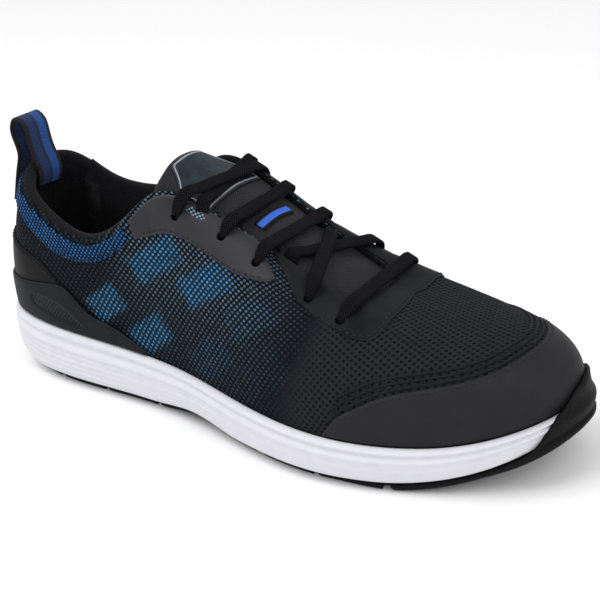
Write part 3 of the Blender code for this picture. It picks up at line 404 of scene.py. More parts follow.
def smooth_curve(knots, rows, period=None):
    """Returns a cubic curve through rows of numbers, closed where a period is given."""
    knots = np.asarray(knots, float)
    rows = np.asarray(rows, float).reshape(len(knots), -1)
    if period is not None:
        knots = np.append(knots, knots[0] + period)
        rows = np.vstack([rows, rows[:1]])
    steps = np.diff(knots)
    rates = np.diff(rows, axis=0) / steps[:, None]
    count = len(knots)
    matrix = np.zeros((count, count))
    target = np.zeros_like(rows)
    for i in range(1, count - 1):
        before, after = 1 / steps[i - 1], 1 / steps[i]
        matrix[i, i - 1 : i + 2] = before, 2 * (before + after), after
        target[i] = 3 * (rates[i - 1] * before + rates[i] * after)
    if period is None:
        matrix[0, :2] = 2, 1
        target[0] = 3 * rates[0]
        matrix[-1, -2:] = 1, 2
        target[-1] = 3 * rates[-1]
    else:
        before, after = 1 / steps[-1], 1 / steps[0]
        matrix[0, 0], matrix[0, 1], matrix[0, -2] = 2 * (before + after), after, before
        target[0] = 3 * (rates[-1] * before + rates[0] * after)
        matrix[-1, 0], matrix[-1, -1] = 1, -1
    slopes = np.linalg.solve(matrix, target)

    def curve(at):
        at = np.asarray(at, float)
        if period is not None:
            at = (at - knots[0]) % period + knots[0]
        i = np.clip(np.searchsorted(knots, at, side="right") - 1, 0, count - 2)
        step = steps[i][..., None]
        t = ((at - knots[i]) / steps[i])[..., None]
        return (
            rows[i] * (1 + 2 * t) * (1 - t) ** 2
            + slopes[i] * step * t * (1 - t) ** 2
            + rows[i + 1] * t * t * (3 - 2 * t)
            + slopes[i + 1] * step * t * t * (t - 1)
        )

    return curve


def column_curve(table, period=None):
    """A smooth curve through a table whose first column is the place along the curve."""
    return smooth_curve([row[0] for row in table], [row[1:] for row in table], period)


def edge_of(table, around):
    """The distance along a wall that an overlay's table tells, in metres."""
    return column_curve(table)(around)[:, 0] * COLLAR_HEIGHT


def plain_steps(table):
    """Straight lines between the rows of a table, where a bend may not overshoot."""
    places = [row[0] for row in table]
    columns = list(zip(*[row[1:] for row in table]))
    return lambda at: np.stack([np.interp(at, places, c) for c in columns], axis=-1)


def make_outline():
    """The outline over its two halves: 0 is the back of the heel, 0.5 the tip of the toe."""
    corners = np.array(SOLE_OUTLINE) * (SHOE_LENGTH, BALL_WIDTH)
    chords = np.linalg.norm(np.diff(np.vstack([corners, corners[:1]]), axis=0), axis=1)
    run = np.concatenate([[0], np.cumsum(chords)])
    tip = run[np.argmax(corners[:, 0])]
    knots = np.where(run <= tip, 0.5 * run / tip, 0.5 + 0.5 * (run - tip) / (run[-1] - tip))
    return smooth_curve(knots[:-1], corners, 1.0)


def column_clip(table, places):
    """The table's columns at places on straight lines, and zero outside it."""
    knots = [row[0] for row in table]
    columns = zip(*[row[1:] for row in table])
    return [np.interp(places, knots, column, left=0, right=0) for column in columns]


outline_at = make_outline()
rim_curve = column_curve(RIM_LINE)
rib_curve = plain_steps(RIB_LINE)
topline_curve = column_curve(TOPLINE, 1.0)
wall_curve = column_curve(WALL_CURVES, 1.0)


def outward_at(around):
    """The direction out of the shoe, seen from above, square to the outline."""
    step = 1e-4
    tangent = outline_at(around + step) - outline_at(around - step)
    tangent /= np.linalg.norm(tangent, axis=-1, keepdims=True)
    return np.stack([tangent[..., 1], -tangent[..., 0]], axis=-1)


def plan_at(around, inset):
    return outline_at(around) - outward_at(around) * np.asarray(inset)[..., None]


def floor_height(x):
    """Height of the tread above the floor: heel bevel, arch and toe spring."""
    share = np.asarray(x, float) / SHOE_LENGTH
    bevel = np.clip(1 - share / BEVEL_END, 0, 1) ** 2
    arch = np.clip((share - ARCH_START) / (ARCH_END - ARCH_START), 0, 1)
    spring = np.clip((share - SPRING_START) / (1 - SPRING_START), 0, 1.2) ** 2
    return HEEL_BEVEL * bevel + ARCH_RISE * np.sin(math.pi * arch) ** 2 + TOE_SPRING * spring


def rim_height(x):
    return rim_curve(np.asarray(x, float) / SHOE_LENGTH)[..., 0] * HEEL_STACK


def rubber_top(x):
    share = smooth_step(np.asarray(x, float) / SHOE_LENGTH, 0.44, 0.58)
    return floor_height(x) + RUBBER_HEEL + (RUBBER_FOREFOOT - RUBBER_HEEL) * share


def midsole_bottom(x):
    return rubber_top(x) + GAP


def footbed_height(x):
    return np.maximum(rim_height(x) - CUP_DEPTH, midsole_bottom(x) + FOOTBED_FLOOR)


def raised(plan, height):
    """Points in plan with a height each, as rows of three numbers."""
    return np.concatenate([plan, np.broadcast_to(height, plan.shape[:-1])[..., None]], axis=-1)


def smooth_step(value, low, high):
    t = np.clip((value - low) / (high - low), 0, 1)
    return t * t * (3 - 2 * t)


def upper_skin(around, rise):
    """Points of the upper's outer face: rise is 0 at the midsole's rim and 1 at the topline.

    Below 0 the wall runs straight down to the footbed, which it reaches at -1.
    """
    around, rise = np.broadcast_arrays(np.asarray(around, float), np.asarray(rise, float))
    foot = plan_at(around, RIM_WIDTH + MIDSOLE_SIDE[-1][0] + GAP)
    low = raised(foot, rim_height(foot[..., 0]))
    along, across, collar, throat = np.moveaxis(topline_curve(around), -1, 0)
    high = np.stack(
        [along * SHOE_LENGTH, across * BALL_WIDTH, collar * COLLAR_HEIGHT + throat * THROAT_HEIGHT],
        axis=-1,
    )
    up, bulge, reach, drop = np.moveaxis(wall_curve(around), -1, 0)
    out = raised(outward_at(around), 0.0)
    first = low + out * (bulge * BALL_WIDTH)[..., None]
    first[..., 2] += up * TOE_BOX_HEIGHT
    back = low - high
    back[..., 2] = 0
    distance = np.linalg.norm(back, axis=-1, keepdims=True)
    second = high + back / np.maximum(distance, 1e-6) * (reach * BALL_WIDTH)[..., None]
    second[..., 2] -= drop * COLLAR_HEIGHT
    t = np.clip(rise, 0, 1)[..., None]
    skin = (
        low * (1 - t) ** 3
        + 3 * first * t * (1 - t) ** 2
        + 3 * second * t * t * (1 - t)
        + high * t**3
    )
    depth = low[..., 2] - footbed_height(low[..., 0]) - GAP
    skin[..., 2] += np.clip(rise, -1, 0) * depth
    return skin


def skin_normal(around, rise):
    """The direction out of the upper's outer face."""
    around, rise = np.broadcast_arrays(np.asarray(around, float), np.asarray(rise, float))
    step = 1e-4
    ahead = upper_skin(around + step, rise) - upper_skin(around - step, rise)
    above = upper_skin(around, np.minimum(rise + step, 1)) - upper_skin(around, rise - step)
    normal = np.cross(ahead, above)
    return normal / np.linalg.norm(normal, axis=-1, keepdims=True)


def off_skin(around, rise, distance):
    """Points at a distance outside the upper's outer face, creases and all, or inside it where negative."""
    around, rise, distance = np.broadcast_arrays(
        np.asarray(around, float), np.asarray(rise, float), np.asarray(distance, float)
    )
    away = distance + crease_height(around, rise)
    return upper_skin(around, rise) + skin_normal(around, rise) * away[..., None]


def crease_height(around, rise):
    """How far soft troughs and the small ridges beside them push the knit in or out."""
    height = np.zeros(around.shape)
    for place, up, turn, half_long, half_wide, depth in CREASES:
        ahead = ((around - place + 0.5) % 1 - 0.5) * OUTLINE_LENGTH
        above = (rise - up) * WALL_LENGTH
        long = ahead * math.cos(turn) + above * math.sin(turn)
        wide = above * math.cos(turn) - ahead * math.sin(turn)
        cross = (wide / half_wide) ** 2
        height -= depth * (1 - cross) * np.exp(-0.7 * cross) * np.exp(-((long / half_long) ** 2))
    return height * smooth_step(rise, 0.0, 0.12) * (1 - smooth_step(rise, 0.85, 1.0))


def wall_thickness(around, rise):
    """Thickness of the upper: one wall, with padding towards the collar's edge."""
    around, rise = np.broadcast_arrays(np.asarray(around, float), np.asarray(rise, float))
    collar = 1 - smooth_step(np.minimum(around % 1, 1 - around % 1), *PADDING_ENDS)
    return WALL + COLLAR_PADDING * collar * smooth_step(rise, *PADDING_RISE)


def rise_from_rim(around, distance):
    """The rise at which the wall has run that distance up from the rim."""
    return _rise_at(around, distance, False)


def rise_from_edge(around, distance):
    """The rise at which the wall is still that distance short of the topline."""
    return _rise_at(around, distance, True)


def _rise_at(around, distance, from_top):
    around, distance = np.broadcast_arrays(np.asarray(around, float), np.asarray(distance, float))
    rises = np.linspace(0, 1, 61)
    skin = upper_skin(around[..., None], rises)
    lengths = np.linalg.norm(np.diff(skin, axis=-2), axis=-1)
    run = np.concatenate([np.zeros(around.shape + (1,)), np.cumsum(lengths, axis=-1)], axis=-1)
    wanted = run[..., -1] - distance if from_top else distance
    found = [
        np.interp(w, r, rises) for w, r in zip(wanted.reshape(-1), run.reshape(-1, len(rises)))
    ]
    return np.array(found).reshape(around.shape)


def sole_ring(around, inset, height_of):
    """A ring at an inset from the outline, at heights told by its X."""
    plan = plan_at(around, np.broadcast_to(inset, around.shape))
    return raised(plan, height_of(plan[:, 0]))


def side_points(around, row, extra=0.0):
    """Points on the midsole's side at one row of its table, pushed outwards by extra."""
    inset, rib, rise = row
    ribs = rib_curve(outline_at(around)[:, 0] / SHOE_LENGTH)[:, 0]
    plan = plan_at(around, inset + rib * ribs - extra)
    low, high = midsole_bottom(plan[:, 0]), rim_height(plan[:, 0])
    return raised(plan, low + (high - low) * rise)


def tread_inset(around):
    """How far the rubber's edge lies inside the outline: well back at the heel, proud at the toe."""
    x = outline_at(around)[..., 0] / SHOE_LENGTH
    front = smooth_step(x, *TREAD_FRONT)
    toe = smooth_step(x, *TREAD_TOE)
    heel = 1 - smooth_step(x, *TREAD_HEEL)
    edge = TREAD_INSET + (FRONT_TREAD_INSET - TREAD_INSET) * front
    return edge + HEEL_TREAD_INSET * heel - (FRONT_TREAD_INSET + BUMPER + GAP) * toe


def bumper_path(around, push, cover):
    """Lines up the midsole's side and over the toe cap, as columns of points."""
    rows = [MIDSOLE_SIDE[number] for number in BUMPER_ROWS]
    lines = [side_points(around, (min(inset, BUMPER_DIP), 0.0, rise), push) for inset, _, rise in rows]
    for lift in BUMPER_LIFTS:
        lines.append(off_skin(around, rise_from_rim(around, np.full(around.shape, lift)), cover))
    return np.stack(lines, axis=1)


def cut_off(lines, start, reach):
    """Runs each line from its start to its reach, counted in points: what lies beyond folds onto the end."""
    lines = np.concatenate([start[:, None], lines], axis=1)
    places = np.arange(lines.shape[1])
    wanted = np.minimum(places[None, :], reach[:, None])
    low = np.minimum(np.floor(wanted).astype(int), lines.shape[1] - 2)
    t = (wanted - low)[..., None]
    index = np.arange(len(lines))[:, None]
    return lines[index, low] * (1 - t) + lines[index, low + 1] * t


def side_place(around, side):
    return around if side == "outer" else 1 - around


def wall_point(around, side, down, distance):
    """A point down the wall from the throat's edge, and off the upper's face."""
    place = side_place(around, side)
    return off_skin(place, rise_from_edge(place, down), distance)


def under_wall(column, side, down, depth):
    """A point of the tongue, down from the throat's edge and a depth below the upper's inner face."""
    around = (column + 0.5) / COLUMNS
    deeper = TONGUE_FRONT_DEPTH * np.clip((column - 24) / 4, 0, 1)
    return wall_point(
        around, side, down, -(wall_thickness(around, 1.0) + TONGUE_CLEARANCE + deeper + depth)
    )


def tongue_row(column, depth):
    """Points across the tongue between the same column on both sides."""
    left, right = (
        [under_wall(column, side, down, depth) for down in TONGUE_TUCKS] for side in ("outer", "inner")
    )
    arch = TONGUE_ARCH * np.clip((THROAT_FRONT_COLUMN - 3 - column) / 6, 0, 1)
    crown = arch * np.linalg.norm(right[-1] - left[-1])
    middle = [
        left[-1] + (right[-1] - left[-1]) * t + (0, 0, crown * 4 * t * (1 - t)) for t in (0.25, 0.5, 0.75)
    ]
    return np.array(left + middle + right[::-1])


def tongue_face(depth):
    """The tongue's rows from under the vamp to its free top, at a depth below its outer face."""
    tuck = TONGUE_TUCKS[0]
    front = THROAT_FRONT_COLUMN
    ends = [(front - 3, tuck), (front - 2, tuck * 0.85), (front - 1, tuck * 0.75), (front, tuck * 0.70)]
    left, right = (
        [under_wall(column, side, down, depth) for column, down in ends] for side in ("outer", "inner")
    )
    rows = [np.array(left + [(left[-1] + right[-1]) / 2] + right[::-1])]
    rows += [tongue_row(column, depth) for column in range(front - 3, THROAT_TOP_COLUMN - 1, -1)]
    last = rows[-1]
    share = np.linspace(-1, 1, len(last))
    top = np.array(TONGUE_TOP) + np.stack(
        [0 * share, TONGUE_TOP_HALF_WIDTH * share, -TONGUE_TOP_DROP * share**2], axis=1
    )
    padding = TONGUE_TOP_PADDING * np.clip(depth / TONGUE_THICKNESS, 0, 1)
    top += np.array((-0.35, 0, -0.94)) * (depth + padding)
    for step in (0.33, 0.67, 1.0):
        rows.append(last + (top - last) * step)
    return np.array(rows)


def between(grid, u, v):
    i, j = min(int(u), grid.shape[0] - 2), min(int(v), grid.shape[1] - 2)
    u, v = u - i, v - j
    low = grid[i, j] * (1 - v) + grid[i, j + 1] * v
    high = grid[i + 1, j] * (1 - v) + grid[i + 1, j + 1] * v
    return low * (1 - u) + high * u


def lace_ground():
    """Points all over the throat's sides and the tongue, which the laces lie on."""
    rises = np.linspace(0.3, 1.0, 45)
    points = [[0.0, 0.0, 0.0]]
    for start, end in ((0.20, 0.46), (0.54, 0.80)):
        places = np.linspace(start, end, 90)[:, None]
        points = np.concatenate([points, off_skin(places, rises, GAP + OVERLAY).reshape(-1, 3)])
    face = tongue_face(0.0)
    rows, across = np.linspace(0, len(face) - 1.001, 90), np.linspace(0, face.shape[1] - 1.001, 40)
    on_tongue = [between(face, u, v) for u in rows for v in across]
    return np.concatenate([points[1:], on_tongue])


def taut_path(start, end, ground, axes, lift):
    """The string stretched from start to end over the ground, seen in the throat's own axes."""
    points = ground @ axes.T
    first, last = axes @ start, axes @ end
    shares = np.linspace(0, 1, 31)
    line = first + (last - first) * shares[:, None]
    heights = []
    for place in line[1:-1]:
        near = np.hypot(points[:, 0] - place[0], points[:, 1] - place[1]) < LACE_WIDTH / 2
        heights.append(points[near, 2].max() if near.any() else -1.0)
    heights = np.array(heights) + LACE_CLEARANCE + LACE_THICKNESS / 2 + lift
    profile = [(0.0, first[2]), *zip(shares[1:-1], heights), (1.0, last[2])]
    hull = []
    for point in profile:
        while len(hull) > 1 and turns_up(hull[-2], hull[-1], point):
            hull.pop()
        hull.append(point)
    at = np.linspace(0, 1, LACE_POINTS)
    line = first + (last - first) * at[:, None]
    line[:, 2] = np.interp(at, *zip(*hull))
    line[1:-1, 2] = np.maximum(line[1:-1, 2], line[1:-1, 2] * 0.5 + (line[:-2, 2] + line[2:, 2]) * 0.25)
    return line @ axes


def turns_up(first, second, third):
    rise = (second[1] - first[1]) * (third[0] - first[0])
    return rise <= (third[1] - first[1]) * (second[0] - first[0])


def colour(code):
    """An sRGB hex value as linear red, green, blue and full alpha."""
    shares = [int(code[i : i + 2], 16) / 255 for i in (0, 2, 4)]
    return (*[s / 12.92 if s <= 0.04045 else ((s + 0.055) / 1.055) ** 2.4 for s in shares], 1.0)


def add_node(tree, kind, links=None, **settings):
    """Adds a node with its settings. Links gives each input a plain value or another node's output."""
    made = tree.nodes.new(kind)
    for name, value in settings.items():
        setattr(made, name, value)
    for socket, value in (links or {}).items():
        if isinstance(value, bpy.types.NodeSocket):
            tree.links.new(value, made.inputs[socket])
        else:
            made.inputs[socket].default_value = value
    return made.outputs


def start_material(name, base, roughness, **sockets):
    material = bpy.data.materials.new(name)
    material.use_nodes = True
    tree = material.node_tree
    shader = tree.nodes["Principled BSDF"]
    shader.inputs["Base Color"].default_value = base
    shader.inputs["Roughness"].default_value = roughness
    for socket, value in sockets.items():
        shader.inputs[socket.replace("_", " ")].default_value = value
    return material, tree, shader


def dress(tree, shader, tone, height, distance, strength):
    """Gives the colour, and raises the surface by a height from 0 to 1 times a distance in metres."""
    tree.links.new(tone, shader.inputs["Base Color"])
    normal = add_node(
        tree, "ShaderNodeBump", {"Height": height, "Distance": distance, "Strength": strength}
    )[0]
    tree.links.new(normal, shader.inputs["Normal"])


def flat_millimetres(tree):
    """The piece's own UV map, which is laid out in millimetres along and up it."""
    place = add_node(tree, "ShaderNodeUVMap", uv_map="flat")[0]
    parts = add_node(tree, "ShaderNodeSeparateXYZ", {"Vector": place})
    return parts[0], parts[1]


def grain(tree, size, detail=2.0):
    """Cloudy noise whose patches are about that many metres across."""
    vector = add_node(tree, "ShaderNodeTexCoord")["Object"]
    return add_node(
        tree, "ShaderNodeTexNoise", {"Vector": vector, "Scale": 1 / size, "Detail": detail}
    )["Fac"]


def dots_of_netting(tree, pitch, row, turn):
    """Dots in staggered rows: 1 in the middle of each opening and -1 between them."""
    along, up = flat_millimetres(tree)
    c, s = math.cos(turn), math.sin(turn)
    first = add_node(
        tree,
        "ShaderNodeMath",
        {0: along, 1: c, 2: add_node(tree, "ShaderNodeMath", {0: up, 1: s}, operation="MULTIPLY")[0]},
        operation="MULTIPLY_ADD",
    )[0]
    second = add_node(
        tree,
        "ShaderNodeMath",
        {0: along, 1: -s, 2: add_node(tree, "ShaderNodeMath", {0: up, 1: c}, operation="MULTIPLY")[0]},
        operation="MULTIPLY_ADD",
    )[0]
    waves = [
        add_node(
            tree,
            "ShaderNodeMath",
            {
                0: add_node(
                    tree, "ShaderNodeMath", {0: value, 1: 2 * math.pi / size}, operation="MULTIPLY"
                )[0],
            },
            operation="COSINE",
        )[0]
        for value, size in ((first, pitch), (second, 2 * row))
    ]
    return add_node(tree, "ShaderNodeMath", {0: waves[0], 1: waves[1]}, operation="MULTIPLY")[0]


def make_netting(name, yarn, rib, dim, pale, blue, pitch, row):
    """Polyester netting knitted over a coloured layer: dull black yarn with openings that show dots of
    colour, black in a dark knit to the toe, pale on the quarter and blue in the blocks."""
    material, tree, shader = start_material(name, yarn, 0.90, Specular_IOR_Level=0.10)
    lattice = dots_of_netting(tree, pitch, row, math.radians(14))
    wobble = add_node(
        tree, "ShaderNodeMath", {0: grain(tree, 0.004), 1: 0.5, 2: -0.25}, operation="MULTIPLY_ADD"
    )[0]
    lattice = add_node(tree, "ShaderNodeMath", {0: lattice, 1: wobble}, operation="ADD")[0]
    opening = add_node(
        tree,
        "ShaderNodeMapRange",
        {"Value": lattice, "From Min": 0.04, "From Max": 0.54},
        interpolation_type="SMOOTHSTEP",
    )[0]
    shown = [add_node(tree, "ShaderNodeAttribute", attribute_name=n)["Fac"] for n in ("pale", "blue")]
    tint = add_node(tree, "ShaderNodeMix", {"Factor": shown[0], 6: dim, 7: pale}, data_type="RGBA")[2]
    tint = add_node(tree, "ShaderNodeMix", {"Factor": shown[1], 6: tint, 7: blue}, data_type="RGBA")[2]
    patchy = add_node(
        tree,
        "ShaderNodeMapRange",
        {"Value": grain(tree, 0.0022, 3.0), "From Min": 0.3, "From Max": 0.72},
        interpolation_type="SMOOTHSTEP",
    )[0]
    tint = add_node(
        tree,
        "ShaderNodeMix",
        {
            "Factor": add_node(tree, "ShaderNodeMath", {0: patchy, 1: 0.5}, operation="MULTIPLY")[0],
            6: tint,
            7: yarn,
        },
        data_type="RGBA",
    )[2]
    ground = add_node(
        tree,
        "ShaderNodeMix",
        {
            "Factor": add_node(
                tree,
                "ShaderNodeMapRange",
                {"Value": shown[0], "From Min": 0.0, "From Max": 0.12},
                interpolation_type="SMOOTHSTEP",
            )[0],
            6: rib,
            7: yarn,
        },
        data_type="RGBA",
    )[2]
    ground = add_node(
        tree,
        "ShaderNodeMix",
        {
            "Factor": add_node(tree, "ShaderNodeMath", {0: shown[1], 1: 0.07}, operation="MULTIPLY")[0],
            6: ground,
            7: tint,
        },
        data_type="RGBA",
    )[2]
    face = add_node(tree, "ShaderNodeMix", {"Factor": opening, 6: ground, 7: tint}, data_type="RGBA")[2]
    strands = add_node(
        tree, "ShaderNodeMath", {0: grain(tree, 0.0006), 1: 0.25}, operation="MULTIPLY"
    )[0]
    dress(
        tree,
        shader,
        face,
        add_node(tree, "ShaderNodeMath", {0: strands, 1: opening}, operation="SUBTRACT")[0],
        0.0005,
        0.8,
    )
    return material


def make_film(name, base, light, roughness, gloss=0.10, dots="2a3038"):
    """Polyurethane film pressed on hot: an even dull skin with a very fine grain, and a painted highlight
    along its cut edge.
    """
    material, tree, shader = start_material(name, base, roughness, Specular_IOR_Level=gloss)
    edge = add_node(tree, "ShaderNodeAttribute", attribute_name="edge")["Fac"]
    # Painted highlight along the cut edge: within about a millimetre of it the colour turns most of the way
    # to the lighter tone
    edge_highlight = add_node(
        tree,
        "ShaderNodeMath",
        {
            0: 1.0,
            1: add_node(
                tree,
                "ShaderNodeMapRange",
                {"Value": edge, "From Min": 0.2, "From Max": 0.9},
                interpolation_type="SMOOTHSTEP",
            )[0],
        },
        operation="SUBTRACT",
    )[0]
    clouds = add_node(
        tree,
        "ShaderNodeMapRange",
        {"Value": grain(tree, 0.012, 4.0), "From Min": 0.3, "From Max": 0.7},
        interpolation_type="SMOOTHSTEP",
    )[0]
    tone = add_node(
        tree,
        "ShaderNodeMix",
        {
            "Factor": add_node(tree, "ShaderNodeMath", {0: clouds, 1: 0.22}, operation="MULTIPLY")[0],
            6: base,
            7: light,
        },
        data_type="RGBA",
    )[2]
    # Lays the painted edge highlight over the film's cloudy tone
    tone = add_node(
        tree,
        "ShaderNodeMix",
        {
            "Factor": add_node(tree, "ShaderNodeMath", {0: edge_highlight, 1: 0.8}, operation="MULTIPLY")[0],
            6: tone,
            7: light,
        },
        data_type="RGBA",
    )[2]
    sunk = add_node(tree, "ShaderNodeAttribute", attribute_name="window")["Fac"]
    holes = add_node(
        tree,
        "ShaderNodeMapRange",
        {"Value": dots_of_netting(tree, 2.2, 1.3, 0.0), "From Min": -0.1, "From Max": 0.5},
        interpolation_type="SMOOTHSTEP",
    )[0]
    mesh = add_node(
        tree, "ShaderNodeMix", {"Factor": holes, 6: colour("08080a"), 7: colour(dots)}, data_type="RGBA"
    )[2]
    tone = add_node(tree, "ShaderNodeMix", {"Factor": sunk, 6: tone, 7: mesh}, data_type="RGBA")[2]
    dress(tree, shader, tone, grain(tree, 0.0007, 3.0), 0.00012, 0.7)
    return material


def make_foam(name):
    """Moulded EVA foam: near white, satin, with a faint skin of small pits and flow marks."""
    base = colour("d3d3d8")
    material, tree, shader = start_material(name, base, 0.55, Specular_IOR_Level=0.40)
    shader.inputs["Subsurface Weight"].default_value = 0.05
    shader.inputs["Subsurface Radius"].default_value = (0.002, 0.002, 0.002)
    marks = add_node(
        tree,
        "ShaderNodeMapRange",
        {"Value": grain(tree, 0.006, 5.0), "From Min": 0.35, "From Max": 0.75},
        interpolation_type="SMOOTHSTEP",
    )[0]
    tone = add_node(
        tree,
        "ShaderNodeMix",
        {
            "Factor": add_node(tree, "ShaderNodeMath", {0: marks, 1: 0.5}, operation="MULTIPLY")[0],
            6: base,
            7: colour("cbcbd2"),
        },
        data_type="RGBA",
    )[2]
    skin = add_node(
        tree,
        "ShaderNodeMath",
        {
            0: grain(tree, 0.0009, 3.0),
            1: add_node(tree, "ShaderNodeMath", {0: marks, 1: 0.6}, operation="MULTIPLY")[0],
        },
        operation="ADD",
    )[0]
    dress(tree, shader, tone, skin, 0.00015, 0.6)
    return material


def make_rubber(name):
    """Moulded rubber: black, half matt, with the sand-blasted grain of its mould."""
    base = colour("08080a")
    material, tree, shader = start_material(name, base, 0.60, Specular_IOR_Level=0.12)
    speck = add_node(
        tree,
        "ShaderNodeMapRange",
        {"Value": grain(tree, 0.0011, 4.0), "From Min": 0.45, "From Max": 0.7},
        interpolation_type="SMOOTHSTEP",
    )[0]
    tone = add_node(
        tree,
        "ShaderNodeMix",
        {
            "Factor": add_node(tree, "ShaderNodeMath", {0: speck, 1: 0.6}, operation="MULTIPLY")[0],
            6: base,
            7: colour("18181b"),
        },
        data_type="RGBA",
    )[2]
    dress(tree, shader, tone, grain(tree, 0.0009, 4.0), 0.0003, 0.8)
    return material


def make_cloth(name, base, light, pitch):
    """Brushed knit for linings, tongue and footbed: soft dark loops in rows with a faint fuzz."""
    material, tree, shader = start_material(name, base, 0.92, Sheen_Weight=0.04, Specular_IOR_Level=0.12)
    weave = add_node(
        tree,
        "ShaderNodeMapRange",
        {"Value": dots_of_netting(tree, pitch, pitch * 0.55, 0.0), "From Min": -0.6, "From Max": 0.8},
        interpolation_type="SMOOTHSTEP",
    )[0]
    clouds = add_node(
        tree,
        "ShaderNodeMapRange",
        {"Value": grain(tree, 0.01, 4.0), "From Min": 0.3, "From Max": 0.75},
        interpolation_type="SMOOTHSTEP",
    )[0]
    tone = add_node(
        tree,
        "ShaderNodeMix",
        {
            "Factor": add_node(tree, "ShaderNodeMath", {0: weave, 1: 0.45}, operation="MULTIPLY")[0],
            6: base,
            7: light,
        },
        data_type="RGBA",
    )[2]
    tone = add_node(
        tree,
        "ShaderNodeMix",
        {
            "Factor": add_node(tree, "ShaderNodeMath", {0: clouds, 1: 0.25}, operation="MULTIPLY")[0],
            6: tone,
            7: light,
        },
        data_type="RGBA",
    )[2]
    dress(
        tree,
        shader,
        tone,
        add_node(tree, "ShaderNodeMath", {0: weave, 1: grain(tree, 0.0008)}, operation="ADD")[0],
        0.00025,
        0.8,
    )
    return material


def make_braid(name, base, light):
    """Flat polyester braid: dull black with slanting plaits that meet down its middle."""
    material, tree, shader = start_material(name, base, 0.85, Specular_IOR_Level=0.06)
    along, across = flat_millimetres(tree)
    slant = add_node(
        tree,
        "ShaderNodeMath",
        {0: add_node(tree, "ShaderNodeMath", {0: across}, operation="ABSOLUTE")[0], 1: 0.9, 2: along},
        operation="MULTIPLY_ADD",
    )[0]
    plait = add_node(
        tree,
        "ShaderNodeMath",
        {
            0: add_node(
                tree, "ShaderNodeMath", {0: slant, 1: 2 * math.pi / 1.3}, operation="MULTIPLY"
            )[0],
        },
        operation="SINE",
    )[0]
    plait = add_node(
        tree,
        "ShaderNodeMapRange",
        {"Value": plait, "From Min": -0.9, "From Max": 0.9},
        interpolation_type="SMOOTHSTEP",
    )[0]
    tone = add_node(tree, "ShaderNodeMix", {"Factor": plait, 6: base, 7: light}, data_type="RGBA")[2]
    dress(tree, shader, tone, plait, 0.0003, 0.9)
    return material


def make_webbing(name):
    """Woven polyester tape: ribs across it, black selvedges and two blue bands."""
    black = colour("101118")
    material, tree, shader = start_material(name, black, 0.70, Sheen_Weight=0.05, Specular_IOR_Level=0.22)
    along, across = flat_millimetres(tree)
    left = add_node(
        tree,
        "ShaderNodeMapRange",
        {"Value": across, "From Min": -6.6, "From Max": -5.8},
        interpolation_type="SMOOTHSTEP",
    )[0]
    middle = add_node(
        tree,
        "ShaderNodeMapRange",
        {"Value": across, "From Min": 0.2, "From Max": 1.0},
        interpolation_type="SMOOTHSTEP",
    )[0]
    right = add_node(
        tree,
        "ShaderNodeMapRange",
        {"Value": across, "From Min": 5.6, "From Max": 6.4},
        interpolation_type="SMOOTHSTEP",
    )[0]
    tone = add_node(
        tree, "ShaderNodeMix", {"Factor": left, 6: black, 7: colour("122c5a")}, data_type="RGBA"
    )[2]
    tone = add_node(
        tree, "ShaderNodeMix", {"Factor": middle, 6: tone, 7: colour("1c4a90")}, data_type="RGBA"
    )[2]
    tone = add_node(tree, "ShaderNodeMix", {"Factor": right, 6: tone, 7: black}, data_type="RGBA")[2]
    core = add_node(
        tree,
        "ShaderNodeMath",
        {0: add_node(tree, "ShaderNodeMath", {0: across, 1: 0.2}, operation="ADD")[0]},
        operation="ABSOLUTE",
    )[0]
    core = add_node(
        tree,
        "ShaderNodeMath",
        {
            0: 1.0,
            1: add_node(
                tree,
                "ShaderNodeMapRange",
                {"Value": core, "From Min": 0.5, "From Max": 1.1},
                interpolation_type="SMOOTHSTEP",
            )[0],
        },
        operation="SUBTRACT",
    )[0]
    tone = add_node(
        tree, "ShaderNodeMix", {"Factor": core, 6: tone, 7: colour("08222e")}, data_type="RGBA"
    )[2]
    rib = add_node(
        tree,
        "ShaderNodeMath",
        {0: add_node(tree, "ShaderNodeMath", {0: along, 1: 2 * math.pi}, operation="MULTIPLY")[0]},
        operation="SINE",
    )[0]
    rib = add_node(
        tree,
        "ShaderNodeMapRange",
        {"Value": rib, "From Min": -1.0, "From Max": 1.0},
        interpolation_type="SMOOTHSTEP",
    )[0]
    dark = add_node(
        tree,
        "ShaderNodeMix",
        {
            "Factor": add_node(tree, "ShaderNodeMath", {0: rib, 1: 0.35}, operation="MULTIPLY")[0],
            6: tone,
            7: black,
        },
        data_type="RGBA",
    )[2]
    dress(tree, shader, dark, rib, 0.0003, 0.7)
    return material


def make_tape(name):
    """A narrow woven tape: black with one bright blue band down its middle."""
    black = colour("0c0d12")
    material, tree, shader = start_material(name, black, 0.75, Specular_IOR_Level=0.20)
    along, across = flat_millimetres(tree)
    band = add_node(
        tree,
        "ShaderNodeMapRange",
        {
            "Value": add_node(tree, "ShaderNodeMath", {0: across}, operation="ABSOLUTE")[0],
            "From Min": 1.3,
            "From Max": 1.8,
        },
        interpolation_type="SMOOTHSTEP",
    )[0]
    rib = add_node(
        tree,
        "ShaderNodeMapRange",
        {
            "Value": add_node(
                tree,
                "ShaderNodeMath",
                {
                    0: add_node(
                        tree, "ShaderNodeMath", {0: along, 1: 2 * math.pi}, operation="MULTIPLY"
                    )[0],
                },
                operation="SINE",
            )[0],
            "From Min": -1.0,
            "From Max": 1.0,
        },
        interpolation_type="SMOOTHSTEP",
    )[0]
    blue = add_node(
        tree,
        "ShaderNodeMix",
        {"Factor": rib, 6: colour("2a55b4"), 7: colour("4270d8")},
        data_type="RGBA",
    )[2]
    dress(
        tree,
        shader,
        add_node(tree, "ShaderNodeMix", {"Factor": band, 6: blue, 7: black}, data_type="RGBA")[2],
        rib,
        0.0002,
        0.6,
    )
    return material


